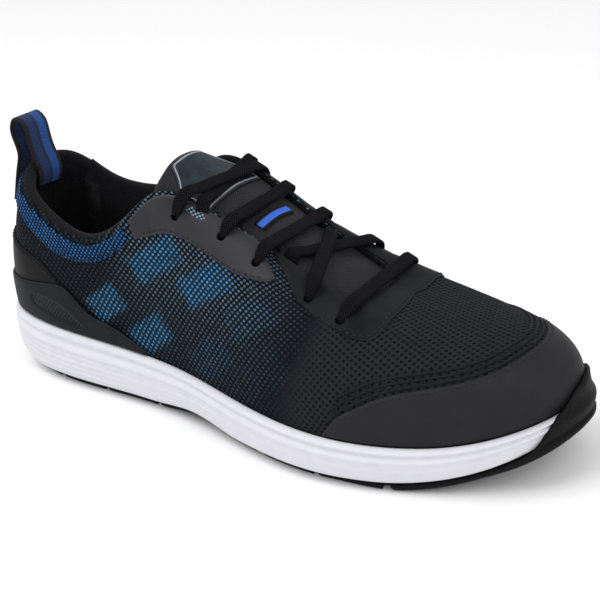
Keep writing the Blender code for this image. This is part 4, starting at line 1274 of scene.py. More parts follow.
def make_patch(name):
    """A moulded label with no print: dark teal film with one raised pale line round its border."""
    base = colour("0d171d")
    material, tree, shader = start_material(name, base, 0.50, Specular_IOR_Level=0.20)
    edge = add_node(tree, "ShaderNodeAttribute", attribute_name="edge")["Fac"]
    off = add_node(
        tree,
        "ShaderNodeMath",
        {0: add_node(tree, "ShaderNodeMath", {0: edge, 1: 1.9}, operation="SUBTRACT")[0]},
        operation="ABSOLUTE",
    )[0]
    line = add_node(
        tree,
        "ShaderNodeMath",
        {
            0: 1.0,
            1: add_node(
                tree,
                "ShaderNodeMapRange",
                {"Value": off, "From Min": 0.3, "From Max": 0.6},
                interpolation_type="SMOOTHSTEP",
            )[0],
        },
        operation="SUBTRACT",
    )[0]
    clouds = add_node(
        tree,
        "ShaderNodeMapRange",
        {"Value": grain(tree, 0.006, 4.0), "From Min": 0.3, "From Max": 0.7},
        interpolation_type="SMOOTHSTEP",
    )[0]
    tone = add_node(
        tree,
        "ShaderNodeMix",
        {
            "Factor": add_node(tree, "ShaderNodeMath", {0: clouds, 1: 0.6}, operation="MULTIPLY")[0],
            6: base,
            7: colour("22323a"),
        },
        data_type="RGBA",
    )[2]
    tone = add_node(
        tree, "ShaderNodeMix", {"Factor": line, 6: tone, 7: colour("8d9198")}, data_type="RGBA"
    )[2]
    dress(
        tree,
        shader,
        tone,
        add_node(tree, "ShaderNodeMath", {0: line, 1: grain(tree, 0.0008)}, operation="ADD")[0],
        0.0002,
        0.6,
    )
    return material


def fit_grid(name, points, materials, flat=None, marks=None, wrap=False, ring=False, faces=None):
    """A grid primitive whose corners are moved onto rows of points.

    Wrap joins the last column to the first, and ring joins the last row to the first. Flat gives the UV
    map in metres, marks gives named numbers at each point, and faces gives each row its material.
    """
    points = np.asarray(points, float)
    count = points.shape[0], points.shape[1]
    bpy.ops.object.select_all(action="DESELECT")
    bpy.ops.mesh.primitive_grid_add(x_subdivisions=count[1] - 1, y_subdivisions=count[0] - 1, size=2)
    obj = bpy.context.object
    obj.name = obj.data.name = name
    mesh = obj.data
    start = np.array([v.co for v in mesh.vertices])
    column = np.rint((start[:, 0] + 1) / 2 * (count[1] - 1)).astype(int)
    row = np.rint((start[:, 1] + 1) / 2 * (count[0] - 1)).astype(int)
    mesh.vertices.foreach_set("co", (points[row, column] + MIDDLE).astype(np.float32).ravel())
    corners = np.zeros(len(mesh.loops), int)
    mesh.loops.foreach_get("vertex_index", corners)
    if flat is not None:
        spread = np.asarray(flat, float)[row, column] * 1000
        layer = mesh.uv_layers[0]
        layer.name = "flat"
        layer.data.foreach_set("uv", spread[corners].astype(np.float32).ravel())
    for label, values in (marks or {}).items():
        attribute = mesh.attributes.new(label, "FLOAT", "POINT")
        attribute.data.foreach_set("value", np.asarray(values, float)[row, column].astype(np.float32))
    for material in materials:
        mesh.materials.append(material)
    if faces is not None:
        rows_of = np.zeros(len(mesh.polygons), int)
        for polygon in mesh.polygons:
            rows_of[polygon.index] = min(row[v] for v in polygon.vertices)
        mesh.polygons.foreach_set("material_index", np.asarray(faces)[rows_of].astype(np.int32))
    if wrap or ring:
        tidy_mesh()
    bpy.ops.object.shade_smooth()
    return obj


def tidy_mesh():
    """Merges the active piece's doubled points and turns its faces outwards."""
    bpy.ops.object.mode_set(mode="EDIT")
    bpy.ops.mesh.select_all(action="SELECT")
    bpy.ops.mesh.remove_doubles(threshold=1e-5)
    bpy.ops.mesh.normals_make_consistent(inside=False)
    bpy.ops.object.mode_set(mode="OBJECT")


def finish_with(obj, kind, **settings):
    """Adds a modifier and applies it."""
    bpy.context.view_layer.objects.active = obj
    bpy.ops.object.modifier_add(type=kind)
    modifier = obj.modifiers[-1]
    for name, value in settings.items():
        setattr(modifier, name, value)
    bpy.ops.object.modifier_apply(modifier=modifier.name)


def stand_for(obj, slot, *nodes):
    """The piece rides with the shoe and stands for its solids."""
    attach(obj, "root")
    if nodes:
        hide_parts(*nodes)
    return obj


def lengths_along(points, axis):
    """How far each point lies along its row or column of points."""
    steps = np.linalg.norm(np.diff(points, axis=axis), axis=-1)
    pad = [(0, 0), (0, 0)]
    pad[axis] = (1, 0)
    return np.pad(np.cumsum(steps, axis=axis), pad)


def laid_flat(around, rise, points):
    """UV in metres: along the shoe, and up the wall from the midsole's rim."""
    rises = np.linspace(0, 1, 41)
    column = upper_skin(around[None, :], rises[:, None])
    run = lengths_along(column, 0)
    up = np.stack([np.interp(rise[:, i], rises, run[:, i]) for i in range(len(around))], axis=1)
    up = up + np.minimum(rise, 0) * 0.012
    return np.stack([points[..., 0], up], axis=-1)


def girth_table():
    """How far it is round the forefoot from its outer rim, told by the place along the shoe and a turn."""
    around = np.linspace(0.15, 0.85, 561)
    skin = upper_skin(around[None, :], np.linspace(0, 1, 161)[:, None]).reshape(-1, 3)
    along = np.linspace(*GIRTH_SPAN, 48)
    turns = np.linspace(0, math.pi, 61)
    table = np.zeros((len(along), len(turns)))
    for row, x in enumerate(along):
        near = skin[np.abs(skin[:, 0] - x) < 0.0025]
        y, z = near[:, 1] - GIRTH_MIDDLE[0], near[:, 2] - GIRTH_MIDDLE[1]
        turn = np.arctan2(z, -y)
        order = np.argsort(turn)
        reach = np.interp(turns, turn[order], np.hypot(y, z)[order])
        reach = np.convolve(np.pad(reach, 3, mode="edge"), np.ones(7) / 7, mode="valid")
        step = np.hypot(np.diff(reach), reach[1:] * np.diff(turns))
        table[row, 1:] = np.cumsum(step)
    return along, turns, table


def laid_over(around, rise, points):
    """The knit's UV: up the wall on the quarters, and straight across the forefoot from side to side."""
    flat = laid_flat(around, rise, points)
    along, turns, table = girth_table()
    x = np.clip(points[..., 0], along[0], along[-1] - 1e-6)
    turn = np.arctan2(points[..., 2] - GIRTH_MIDDLE[1], GIRTH_MIDDLE[0] - points[..., 1])
    turn = np.clip(turn, 0, math.pi - 1e-6)
    u = (x - along[0]) / (along[1] - along[0])
    v = turn / (turns[1] - turns[0])
    i, j = u.astype(int), v.astype(int)
    u, v = u - i, v - j
    across = (table[i, j] * (1 - v) + table[i, j + 1] * v) * (1 - u)
    across += (table[i + 1, j] * (1 - v) + table[i + 1, j + 1] * v) * u
    whole = table[(along > FOREFOOT_GIRTH[0]) & (along < FOREFOOT_GIRTH[1]), -1].mean()
    up = flat[..., 1]
    inner = (around > 0.5)[None, :]
    up = np.where(inner, whole - up, up)
    share = smooth_step(points[..., 0], *FOREFOOT_FROM)
    flat[..., 1] = up * (1 - share) + across * share
    return flat


def blue_share(flat):
    """How much of the blue shows: in slanting blocks on the outer side, in a few faint ones inside."""
    shown = np.zeros(flat.shape[:-1])
    c, s = math.cos(BLOCK_SLOPE), math.sin(BLOCK_SLOPE)
    for along, up, long, wide, strength in BLUE_BLOCKS:
        x, v = flat[..., 0] - along, flat[..., 1] - up
        reach = np.maximum(np.abs(x * c + v * s) / long, np.abs(v * c - x * s) / wide)
        shown = np.maximum(shown, strength * (1 - smooth_step(reach, *BLOCK_FADE)))
    return shown


def build_upper():
    around = np.linspace(0, 1, SOLE_STEPS)
    outer = np.concatenate([[-1.0, -0.5], np.linspace(0, 1, 45)])
    inner = np.linspace(1, -1, 22)
    outside = upper_skin(around[None, :], outer[:, None])
    inside = off_skin(around[None, :], inner[:, None], -wall_thickness(around[None, :], inner[:, None]))
    top, under = outside[-1], inside[0]
    middle = (top + under) / 2
    above = top - upper_skin(around, 0.97)
    above /= np.linalg.norm(above, axis=1, keepdims=True)
    height = (wall_thickness(around, 1.0) * COLLAR_ROUND)[:, None]
    turns = np.linspace(0, math.pi, 9)[1:-1]
    crest = np.array([middle + (top - middle) * math.cos(t) + above * height * math.sin(t) for t in turns])
    points = np.concatenate([outside, crest, inside, outside[:1]])
    rise = np.concatenate([outer, np.ones(len(turns)), inner, outer[:1]])
    rise = np.broadcast_to(rise[:, None], points.shape[:2])
    flat = laid_flat(around, rise, points)
    extra = np.zeros(len(points))
    extra[len(outer) : len(outer) + len(turns)] = 0.0006 * np.arange(1, len(turns) + 1)
    blue = blue_share(flat) * (points[..., 1] < 0)
    pale = smooth_step(flat[..., 1], *PALE_RISE)
    flat = laid_over(around, rise, points)
    flat[..., 1] += extra[:, None]
    x = points[..., 0]
    quarter = smooth_step(x, *QUARTER_FROM) * (1 - smooth_step(x, *QUARTER_TO))
    pale = quarter * (PALE_LEAST + (1 - PALE_LEAST) * pale)
    pale = np.maximum(pale, HEEL_PALE * (1 - smooth_step(x, *HEEL_PALE_TO)))
    rows = len(points) - 1
    faces = np.where(np.arange(rows) < len(outer) + 1, 0, 1)
    marks = {"blue": blue, "pale": pale}
    obj = fit_grid("knit_upper", points, [KNIT, LINING], flat, marks, wrap=True, ring=True, faces=faces)
    return stand_for(obj, "black_knit_mesh", "upper")


def build_overlay(name, node, slot, material, around, low, high, base=GAP, rows=22, window=None, spot=None):
    """A film or band on the upper between two distances up its wall, thinning softly to its edges.

    A window is sunk between two heights, or as one oval spot told by its place, drop and half sizes.
    """
    share = np.linspace(0, 1, rows)[:, None]
    bottom, top = rise_from_rim(around, low), rise_from_rim(around, high)
    rise = bottom + (top - bottom) * share
    skin = upper_skin(around[None, :], rise)
    up = lengths_along(skin, 0)
    along = lengths_along(skin, 1)
    edge = np.minimum(np.minimum(up, up[-1:] - up), np.minimum(along, along[:, -1:] - along))
    lift = base + OVERLAY * (FILM_EDGE_SHARE + (1 - FILM_EDGE_SHARE) * smooth_step(edge, 0, FILM_SOFT))
    marks = {"edge": edge * 1000}
    if window is not None:
        marks["window"] = window_share(around, up + low, window)
        lift -= WINDOW_SUNK * OVERLAY * marks["window"]
    if spot is not None:
        place, drop, half_long, half_high = spot
        ahead = (around - place) * OUTLINE_LENGTH / half_long
        below = (up[-1:] - up - drop) / half_high
        marks["window"] = 1 - smooth_step(np.hypot(ahead, below), 0.80, 1.0)
        lift -= SPOT_SUNK * OVERLAY * marks["window"]
    points = off_skin(around[None, :], rise, lift)
    obj = fit_grid(name, points, [material], laid_flat(around, rise, points), marks)
    finish_with(obj, "SOLIDIFY", thickness=OVERLAY * FILM_BODY, offset=-1)
    tidy_mesh()
    return stand_for(obj, slot, *node)


def stand_on_rim(name, node, material, table, count):
    """A film that runs up the wall from the midsole's rim to the edge that its table tells."""
    around = np.linspace(table[0][0], table[-1][0], count)
    low, high = np.full(around.shape, FILM_START), np.maximum(edge_of(table, around), FILM_LEAST)
    build_overlay(name, [node], "black_synthetic", material, around, low, high)
    return around


def window_share(around, height, window):
    """1 inside the sunk mesh windows on both sides of the heel, and 0 outside them."""
    low, high = window
    near = np.abs(around)
    ends = smooth_step(near, SUPPORT_WINDOW[0], SUPPORT_WINDOW[0] + WINDOW_SOFT[0])
    ends = ends * (1 - smooth_step(near, SUPPORT_WINDOW[1] - WINDOW_SOFT[0], SUPPORT_WINDOW[1]))
    inside = smooth_step(height, low, low + WINDOW_SOFT[1])
    inside = inside * (1 - smooth_step(height, high - WINDOW_SOFT[1], high))
    return inside * ends


def build_patches():
    """The films, the strip and the knitted band that lie on the upper."""
    around = stand_on_rim("toe_cap_film", "toe_cap", TOE_FILM, TOE_CAP_EDGE, 181)

    seams = []
    for number, above in enumerate(TOE_SEAMS, 1):
        share = np.linspace(SEAM_SHORTER * number, 1 - SEAM_SHORTER * number, 161)
        places = around[0] + (around[-1] - around[0]) * share
        heights = edge_of(TOE_CAP_EDGE, places) + above
        line = off_skin(places, rise_from_rim(places, heights), GAP)
        widthwise = np.cross(skin_normal(places, rise_from_rim(places, heights)), np.gradient(line, axis=0))
        size = SEAM_WIDTH, SEAM_THICKNESS
        seams.append(strip_along(f"seam_{number}", line, widthwise, *size, [SEAM], columns=7))
    stand_for(join_all("toe_seams", seams), "black_synthetic")

    stand_on_rim("heel_counter_film", "heel_counter", HEEL_FILM, HEEL_COUNTER_EDGE, 121)

    around = np.linspace(HEEL_SUPPORT_EDGE[0][0], HEEL_SUPPORT_EDGE[-1][0], 241)
    low, high, *window = (column_curve(HEEL_SUPPORT_EDGE)(around) * COLLAR_HEIGHT).T
    high = np.maximum(high, low + 0.001)
    film = ["heel_support"], "grey_synthetic", SUPPORT_FILM
    base = 2 * GAP + OVERLAY
    build_overlay("heel_support_film", *film, around, low, high, base=base, window=window, rows=40)

    for side in ("outer", "inner"):
        around = np.linspace(*EYESTAY_SPAN, 91)
        drop = edge_of(EYESTAY_EDGE, around)
        if side == "inner":
            around, drop = 1 - around[::-1], drop[::-1]
        spot = (side_place(EYESTAY_WINDOW[0], side), *EYESTAY_WINDOW[1:])
        film = [f"eyestay_{side}"], "grey_synthetic", EYESTAY_FILM
        hang(f"eyestay_film_{side}", *film, around, drop, rows=40, spot=spot)
    around = np.linspace(*STRIP_SPAN, 161)
    drop = edge_of(STRIP_EDGE, np.minimum(around, 1 - around))
    hang("throat_strip_film", ["throat_strip"], "black_synthetic", STRIP_FILM, around, drop)
    around = np.linspace(*BAND_SPAN, 241)
    drop = edge_of(COLLAR_BAND_EDGE, around)
    hang("collar_band_knit", ["collar_band"], "black_knit_mesh", BAND, around, drop, rows=14)


def sew(name, rows, thread):
    """Rows of stitches, each told by its line of points and the direction off the cloth at each point."""
    bpy.ops.object.select_all(action="DESELECT")
    bpy.ops.mesh.primitive_uv_sphere_add(segments=8, ring_count=5, radius=0.5)
    stitch = bpy.context.object
    shape = np.array([v.co for v in stitch.data.vertices]) * STITCH
    faces = [tuple(p.vertices) for p in stitch.data.polygons]
    bpy.data.objects.remove(stitch, do_unlink=True)
    corners, sides = [], []
    for line, off in rows:
        run = np.concatenate([[0], np.cumsum(np.linalg.norm(np.diff(line, axis=0), axis=1))])
        for at in np.arange(STITCH_PITCH, run[-1] - STITCH_PITCH, STITCH_PITCH):
            centre, ahead, out = [
                np.array([np.interp(at, run, column) for column in values.T])
                for values in (line, np.gradient(line, axis=0), off)
            ]
            ahead /= np.linalg.norm(ahead)
            across = np.cross(out, ahead)
            across /= np.linalg.norm(across)
            axes = np.array([ahead, across, np.cross(ahead, across)])
            sides += [tuple(number + len(corners) for number in face) for face in faces]
            corners += list(centre + MIDDLE + shape @ axes)
    mesh = bpy.data.meshes.new(name)
    mesh.from_pydata(corners, [], sides)
    mesh.materials.append(thread)
    obj = bpy.data.objects.new(name, mesh)
    bpy.context.scene.collection.objects.link(obj)
    mesh.shade_smooth()
    return stand_for(obj, "black_lace")


def sewn_line(around, distance, lift, from_top=False):
    """A line on the upper, told by its distance up from the rim or down from the topline."""
    rise = (rise_from_edge if from_top else rise_from_rim)(around, distance)
    return off_skin(around, rise, lift), skin_normal(around, rise)


def sew_seams():
    """The sewn rows along the edges of the films and of the collar band."""
    on_film = GAP + OVERLAY
    rows = []
    for mirrored in (False, True):
        for edge, span in ((EYESTAY_EDGE, EYESTAY_SEWN), (STRIP_EDGE, STRIP_SEWN)):
            around = np.linspace(*span)
            drop = edge_of(edge, around) - STITCH_IN
            rows.append(sewn_line(1 - around if mirrored else around, drop, on_film, True))
    around = np.linspace(TOE_CAP_EDGE[1][0] + TOE_SEWN_IN, TOE_CAP_EDGE[-2][0] - TOE_SEWN_IN, 180)
    high = edge_of(TOE_CAP_EDGE, around)
    rows.append(sewn_line(around, high - STITCH_IN, on_film))
    around = np.linspace(*COUNTER_SEWN)
    high = edge_of(HEEL_COUNTER_EDGE, around)
    rows.append(sewn_line(around, high - STITCH_IN, on_film))
    around = np.linspace(*BAND_SEWN)
    drop = edge_of(COLLAR_BAND_EDGE, around)
    rows.append(sewn_line(around, drop - STITCH_IN, on_film, True))
    sew("sewn_rows", rows, THREAD)


def hang(name, node, slot, material, around, drop, rows=22, spot=None):
    """An overlay that hangs from just below the topline to a drop below it."""
    full = lengths_along(upper_skin(around[None, :], np.linspace(0, 1, 61)[:, None]), 0)[-1]
    high = full - EDGE_DROP * COLLAR_HEIGHT
    return build_overlay(name, node, slot, material, around, full - drop, high, rows=rows, spot=spot)


def closing(ring, height_of):
    """Rows that close a ring round the shoe, from its middle line out to the ring."""
    mirrored = ring[::-1]
    rows = []
    for share in np.linspace(0.5, 0, CLOSING_STEPS + 1)[:-1]:
        plan = ring[:, :2] * (1 - share) + mirrored[:, :2] * share
        rows.append(raised(plan, height_of(plan[:, 0])))
    return rows


def build_midsole():
    around = np.linspace(0, 1, SOLE_STEPS)
    around[-1] = 0
    table = np.array(MIDSOLE_SIDE)
    rises = np.linspace(0, 1, 64)
    inset = smooth_curve(table[:, 2], table[:, 0])(rises)[:, 0]
    ribbed = (0.5 - 0.5 * np.cos(2 * math.pi * (rises - RIBS_FROM) / RIB_PITCH)) * RIB_DEPTH
    ribbed *= (rises > RIBS_FROM) & (rises < RIBS_TO)
    rows = [side_points(around, (i, r, rise)) for i, r, rise in zip(inset, ribbed, rises)]
    under = closing(rows[0], midsole_bottom)
    cup = MIDSOLE_SIDE[-1][0] + RIM_WIDTH
    lips = [sole_ring(around, cup - LIP_ROUND[0], lambda x: rim_height(x) + LIP_ROUND[1])]
    lips.append(sole_ring(around, cup, rim_height))
    cup_rows = [sole_ring(around, cup, footbed_height)]
    top = closing(cup_rows[0], footbed_height)[::-1]
    points = np.array(under + rows + lips + cup_rows + top)
    run = lengths_along(points, 0)
    flat = np.stack([np.broadcast_to(around * OUTLINE_LENGTH, run.shape), run], axis=-1)
    obj = fit_grid("foam_midsole", points, [FOAM], flat, wrap=True)
    return stand_for(obj, "white_foam", "midsole")


def build_outsole():
    around = np.linspace(0, 1, SOLE_STEPS)
    around[-1] = 0
    edge = tread_inset(around)
    outer_start = sole_ring(around, edge, rubber_top)
    inner_start = sole_ring(around, np.maximum(edge + TREAD_INNER, MIDSOLE_SIDE[0][0] - GAP), rubber_top)
    cover = 2 * GAP + OVERLAY + BUMPER_CLEARANCE
    side, lift = column_clip(BUMPER_EDGE, around)
    reach = side * len(BUMPER_ROWS) + lift / BUMPER_LIFTS[-1] * len(BUMPER_LIFTS)
    path = bumper_path(around, GAP + BUMPER, cover + BUMPER_OVER_CAP * BUMPER)
    for _ in range(3):
        path[:, 1:-1] = (path[:, :-2] + 2 * path[:, 1:-1] + path[:, 2:]) / 4
    outer = cut_off(path, outer_start, reach)
    inner = cut_off(bumper_path(around, GAP, cover), inner_start, reach)
    low = sole_ring(around, edge + TREAD_ROUND, floor_height)
    rows = closing(low, floor_height)
    rows += [low, sole_ring(around, edge, lambda x: floor_height(x) + TREAD_ROUND)]
    rows += [*np.moveaxis(outer, 1, 0), *np.moveaxis(inner[:, ::-1], 1, 0)]
    rows += closing(rows[-1], rubber_top)[::-1]
    points = np.array(rows)
    run = lengths_along(points, 0)
    flat = np.stack([np.broadcast_to(around * OUTLINE_LENGTH, run.shape), run], axis=-1)
    obj = fit_grid("rubber_outsole", points, [RUBBER], flat, wrap=True)
    cutters = [punch_box(centre, size, turn) for centre, size, turn in tread_cuts()]
    cut_with(obj, cutters)
    bpy.ops.object.shade_smooth_by_angle(angle=math.radians(38))
    return stand_for(obj, "black_rubber", "outsole")


def tread_cuts():
    """The notches through the rubber's edge and the flex grooves between them."""
    places = np.linspace(0, 1, 721)
    line = outline_at(places)
    out = outward_at(places)
    for share in NOTCHES:
        middles = []
        for chosen in (line[:, 1] < 0, line[:, 1] > 0):
            near = np.argmin(np.where(chosen, np.abs(line[:, 0] - share * SHOE_LENGTH), 1.0))
            middle = line[near]
            middles.append(middle)
            size = 2 * NOTCH_DEPTH, NOTCH_WIDTH, 4 * RUBBER_FOREFOOT
            yield (*middle, floor_height(middle[0])), size, math.atan2(out[near, 1], out[near, 0])
        reach = middles[1] - middles[0]
        centre = (middles[0] + middles[1]) / 2
        size = np.linalg.norm(reach), GROOVE_WIDTH, 2 * GROOVE_DEPTH
        yield (*centre, floor_height(centre[0])), size, math.atan2(reach[1], reach[0])


def punch_box(centre, size, turn):
    bpy.ops.object.select_all(action="DESELECT")
    place = Vector(centre) + Vector(MIDDLE)
    bpy.ops.mesh.primitive_cube_add(size=1, location=place, rotation=(0, 0, turn), scale=size)
    return bpy.context.object


def punch_hole(around, side, drop):
    around = side_place(around, side)
    rise = rise_from_edge(around, drop)
    normal = Vector(skin_normal(around, rise))
    bpy.ops.object.select_all(action="DESELECT")
    bpy.ops.mesh.primitive_cylinder_add(
        vertices=28,
        radius=EYELET_RADIUS,
        depth=PUNCH_LENGTH,
        location=Vector(upper_skin(around, rise)) + Vector(MIDDLE),
        rotation=normal.to_track_quat("Z", "Y").to_euler(),
    )
    return bpy.context.object


def cut_with(target, cutters):
    """Joins the cutters, takes them out of the target and deletes them."""
    bpy.ops.object.select_all(action="DESELECT")
    for cutter in cutters:
        cutter.select_set(True)
    bpy.context.view_layer.objects.active = cutters[0]
    bpy.ops.object.join()
    joined = cutters[0]
    finish_with(target, "BOOLEAN", operation="DIFFERENCE", solver="EXACT", object=joined, use_self=True)
    bpy.data.objects.remove(joined, do_unlink=True)


def punch_eyelets():
    """Real holes through the films, the strip and the knit, for the lace."""
    for name, sides in (
        ("knit_upper", ("outer", "inner")),
        ("throat_strip_film", ("outer", "inner")),
        ("eyestay_film_outer", ("outer",)),
        ("eyestay_film_inner", ("inner",)),
    ):
        numbers = range(len(EYELETS))
        if name.startswith("throat"):
            numbers = range(STRIP_EYELETS)
        elif name.startswith("eyestay"):
            numbers = range(STRIP_EYELETS, len(EYELETS))
        cutters = [punch_hole(EYELETS[n][0], side, EYELETS[n][1]) for side in sides for n in numbers]
        cut_with(bpy.data.objects[name], cutters)


def build_footbed():
    around = np.linspace(0, 1, 257)
    around[-1] = 0
    edge = MIDSOLE_SIDE[-1][0] + RIM_WIDTH + GAP + WALL + INSOLE_CLEARANCE

    def low(x):
        return footbed_height(x) + GAP

    def high(x):
        return footbed_height(x) + GAP + INSOLE

    bottom, top = sole_ring(around, edge, low), sole_ring(around, edge, lambda x: high(x) - FOOTBED_ROUND[1])
    inner = sole_ring(around, edge + FOOTBED_ROUND[0], high)
    points = closing(bottom, low) + [bottom, top, inner] + closing(inner, high)[::-1]
    points = np.array(points)
    obj = fit_grid("footbed", points, [FOOTBED], points[..., :2], wrap=True)
    return stand_for(obj, "black_lining", "insole")


def resample(grid, rows, across):
    """The same grid of points with more rows and columns, run through smoothly."""
    for count in (rows, across):
        curve = smooth_curve(np.arange(len(grid)), grid)
        grid = curve(np.linspace(0, len(grid) - 1, count)).reshape(count, -1, 3).swapaxes(0, 1)
    return grid


def pillow(name, outside, inside, materials, radius, flat=None):
    """A closed piece between two faces that meet round their borders in a rounded edge."""
    middle = (outside + inside) / 2
    along, across = lengths_along(middle, 0), lengths_along(middle, 1)
    to_ends = np.minimum(along, along[-1:] - along)
    to_sides = np.minimum(across, across[:, -1:] - across)
    edge = np.minimum(to_ends, to_sides)
    share = np.clip(edge / radius, 0, 1)
    full = np.sqrt(np.clip(1 - (1 - share) ** 2, 0, 1))[..., None]
    half = (outside - inside) / 2
    outer, inner = middle + half * full, middle - half * full
    points = np.concatenate([outer, inner[:, ::-1]], axis=1)
    if flat is None:
        flat = np.stack([along, across - across[:, -1:] / 2], axis=-1)
    flat = np.concatenate([flat, flat[:, ::-1]], axis=1)
    marks = {"edge": np.concatenate([edge, edge[:, ::-1]], axis=1) * 1000}
    return fit_grid(name, points, materials, flat, marks, wrap=True)


def tongue_sheet(depth):
    """The tongue's face at a depth, with finer steps."""
    return resample(tongue_face(depth), 120, 61)


def on_tongue(rows, across, lift, count):
    """Points over a part of the tongue's face, told by the rows and points of its solid."""
    sheet = tongue_sheet(-lift)
    solid = tongue_face(0.0).shape
    u = np.linspace(*rows, count[0]) / (solid[0] - 1) * (sheet.shape[0] - 1)
    v = np.linspace(*across, count[1]) / (solid[1] - 1) * (sheet.shape[1] - 1)
    return np.array([[between(sheet, a, b) for b in v] for a in u])


def build_tongue():
    outside, inside = tongue_sheet(0.0), tongue_sheet(TONGUE_THICKNESS)
    tongue = pillow("padded_tongue", outside, inside, [TONGUE], TONGUE_ROUND)
    stand_for(tongue, "black_lining", "tongue")

    outside = on_tongue(LABEL_ROWS, LABEL_ACROSS, GAP + LABEL_THICKNESS, (40, 40))
    inside = on_tongue(LABEL_ROWS, LABEL_ACROSS, GAP, (40, 40))
    label = pillow("tongue_patch", outside, inside, [PATCH], LABEL_ROUND)
    stand_for(label, "black_synthetic", "tongue_label")

    outside = on_tongue(KEEPER_ROWS, KEEPER_ACROSS, GAP + LABEL_THICKNESS, (14, 40))
    inside = on_tongue(KEEPER_ROWS, KEEPER_ACROSS, GAP, (14, 40))
    middle = (outside + inside) / 2
    along, across = lengths_along(middle, 1), lengths_along(middle, 0)
    flat = np.stack([along, across - across[-1:] / 2], axis=-1)
    keeper = pillow("lace_keeper_tape", outside, inside, [KEEPER], KEEPER_ROUND, flat=flat)
    stand_for(keeper, "blue_webbing", "lace_keeper")


def strip_along(name, path, across, widths, thickness, materials, columns=11):
    """A flat strip along a path: across gives the direction of its width at each point."""
    across = np.broadcast_to(np.asarray(across, float), path.shape)
    ahead = np.gradient(path, axis=0)
    ahead /= np.linalg.norm(ahead, axis=1, keepdims=True)
    side = across - ahead * np.sum(across * ahead, axis=1, keepdims=True)
    side /= np.linalg.norm(side, axis=1, keepdims=True)
    up = np.cross(side, ahead)
    shares = np.linspace(-0.5, 0.5, columns)
    over = np.broadcast_to(np.asarray(widths, float), (len(path),))[:, None] * shares
    middle = path[:, None] + side[:, None] * over[..., None]
    half = (up * thickness / 2)[:, None]
    run = np.concatenate([[0], np.cumsum(np.linalg.norm(np.diff(path, axis=0), axis=1))])
    flat = np.stack([np.broadcast_to(run[:, None], over.shape), over], axis=-1)
    return pillow(name, middle + half, middle - half, materials, thickness * 0.7, flat=flat)


def build_laces():
    """One flat lace: a bar over the toe end, then crossings up to the top eyelets."""
    along = wall_point(0.25, "outer", 0.0, 0.0) - wall_point(0.35, "outer", 0.0, 0.0)
    along[1] = 0
    along /= np.linalg.norm(along)
    across = np.array((0.0, 1.0, 0.0))
    axes = np.array([along, across, np.cross(across, along)])
    axes[2] *= np.sign(axes[2, 2])
    ground = lace_ground()
    over = 2 * GAP + OVERLAY + LACE_CLEARANCE + LACE_THICKNESS / 2
    strips = []

    def run(number, eyelet, side, far, far_drop, lift, depth, both):
        other = "inner" if side == "outer" else "outer"
        start = wall_point(eyelet[0], side, eyelet[1], over + eyelet[2])
        sink = (0, depth if other == "outer" else -depth, -depth / 2)
        end = wall_point(far, other, far_drop, over + eyelet[2]) + sink
        path = taut_path(start, end, ground, axes, lift)
        hole = [wall_point(eyelet[0], side, eyelet[1], h) for h in LACE_HOLE]
        ways = [*hole, *path[1:]]
        if both:
            ways = ways[:-1] + [wall_point(far, other, far_drop, h) for h in LACE_HOLE[::-1]]
        else:
            ways.append(ways[-1] + np.array((0.0, 0.4, -0.8)) * LACE_TAIL)
            if other == "outer":
                ways[-1] = ways[-2] + np.array((0.0, -0.4, -0.8)) * LACE_TAIL
        ways = np.array(ways)
        chords = np.linalg.norm(np.diff(ways, axis=0), axis=1)
        knots = np.concatenate([[0], np.cumsum(chords)])
        line = smooth_curve(knots, ways)(np.linspace(0, knots[-1], LACE_STEPS))
        gone = np.linspace(0, knots[-1], LACE_STEPS)
        narrow = smooth_step(gone, *LACE_NARROW)
        if both:
            narrow = narrow * smooth_step(knots[-1] - gone, *LACE_NARROW)
        widths = LACE_WIDTH * (LACE_END_SHARE + (1 - LACE_END_SHARE) * narrow)
        strips.append(strip_along(f"lace_{number}", line, along, widths, LACE_THICKNESS, [LACE]))

    front = EYELETS[0]
    run(0, front, "outer", front[0], front[1], 0.0, 0.0, True)
    for number in range(1, len(EYELETS)):
        far = EYELETS[number - 1][0] - LACE_TURN
        run(2 * number - 1, EYELETS[number], "outer", far, 0.0, LACE_STAGGER, LACE_DIP, False)
        run(2 * number, EYELETS[number], "inner", far, 0.0, 0.0, LACE_DIP, False)
    lace = join_all("flat_lace", strips)
    return stand_for(lace, "black_lace", "lace_bar", *[f"lace_cross_{n}" for n in range(1, len(EYELETS))])


def join_all(name, objects):
    bpy.ops.object.select_all(action="DESELECT")
    for obj in objects:
        obj.select_set(True)
    bpy.context.view_layer.objects.active = objects[0]
    bpy.ops.object.join()
    objects[0].name = objects[0].data.name = name
    return objects[0]


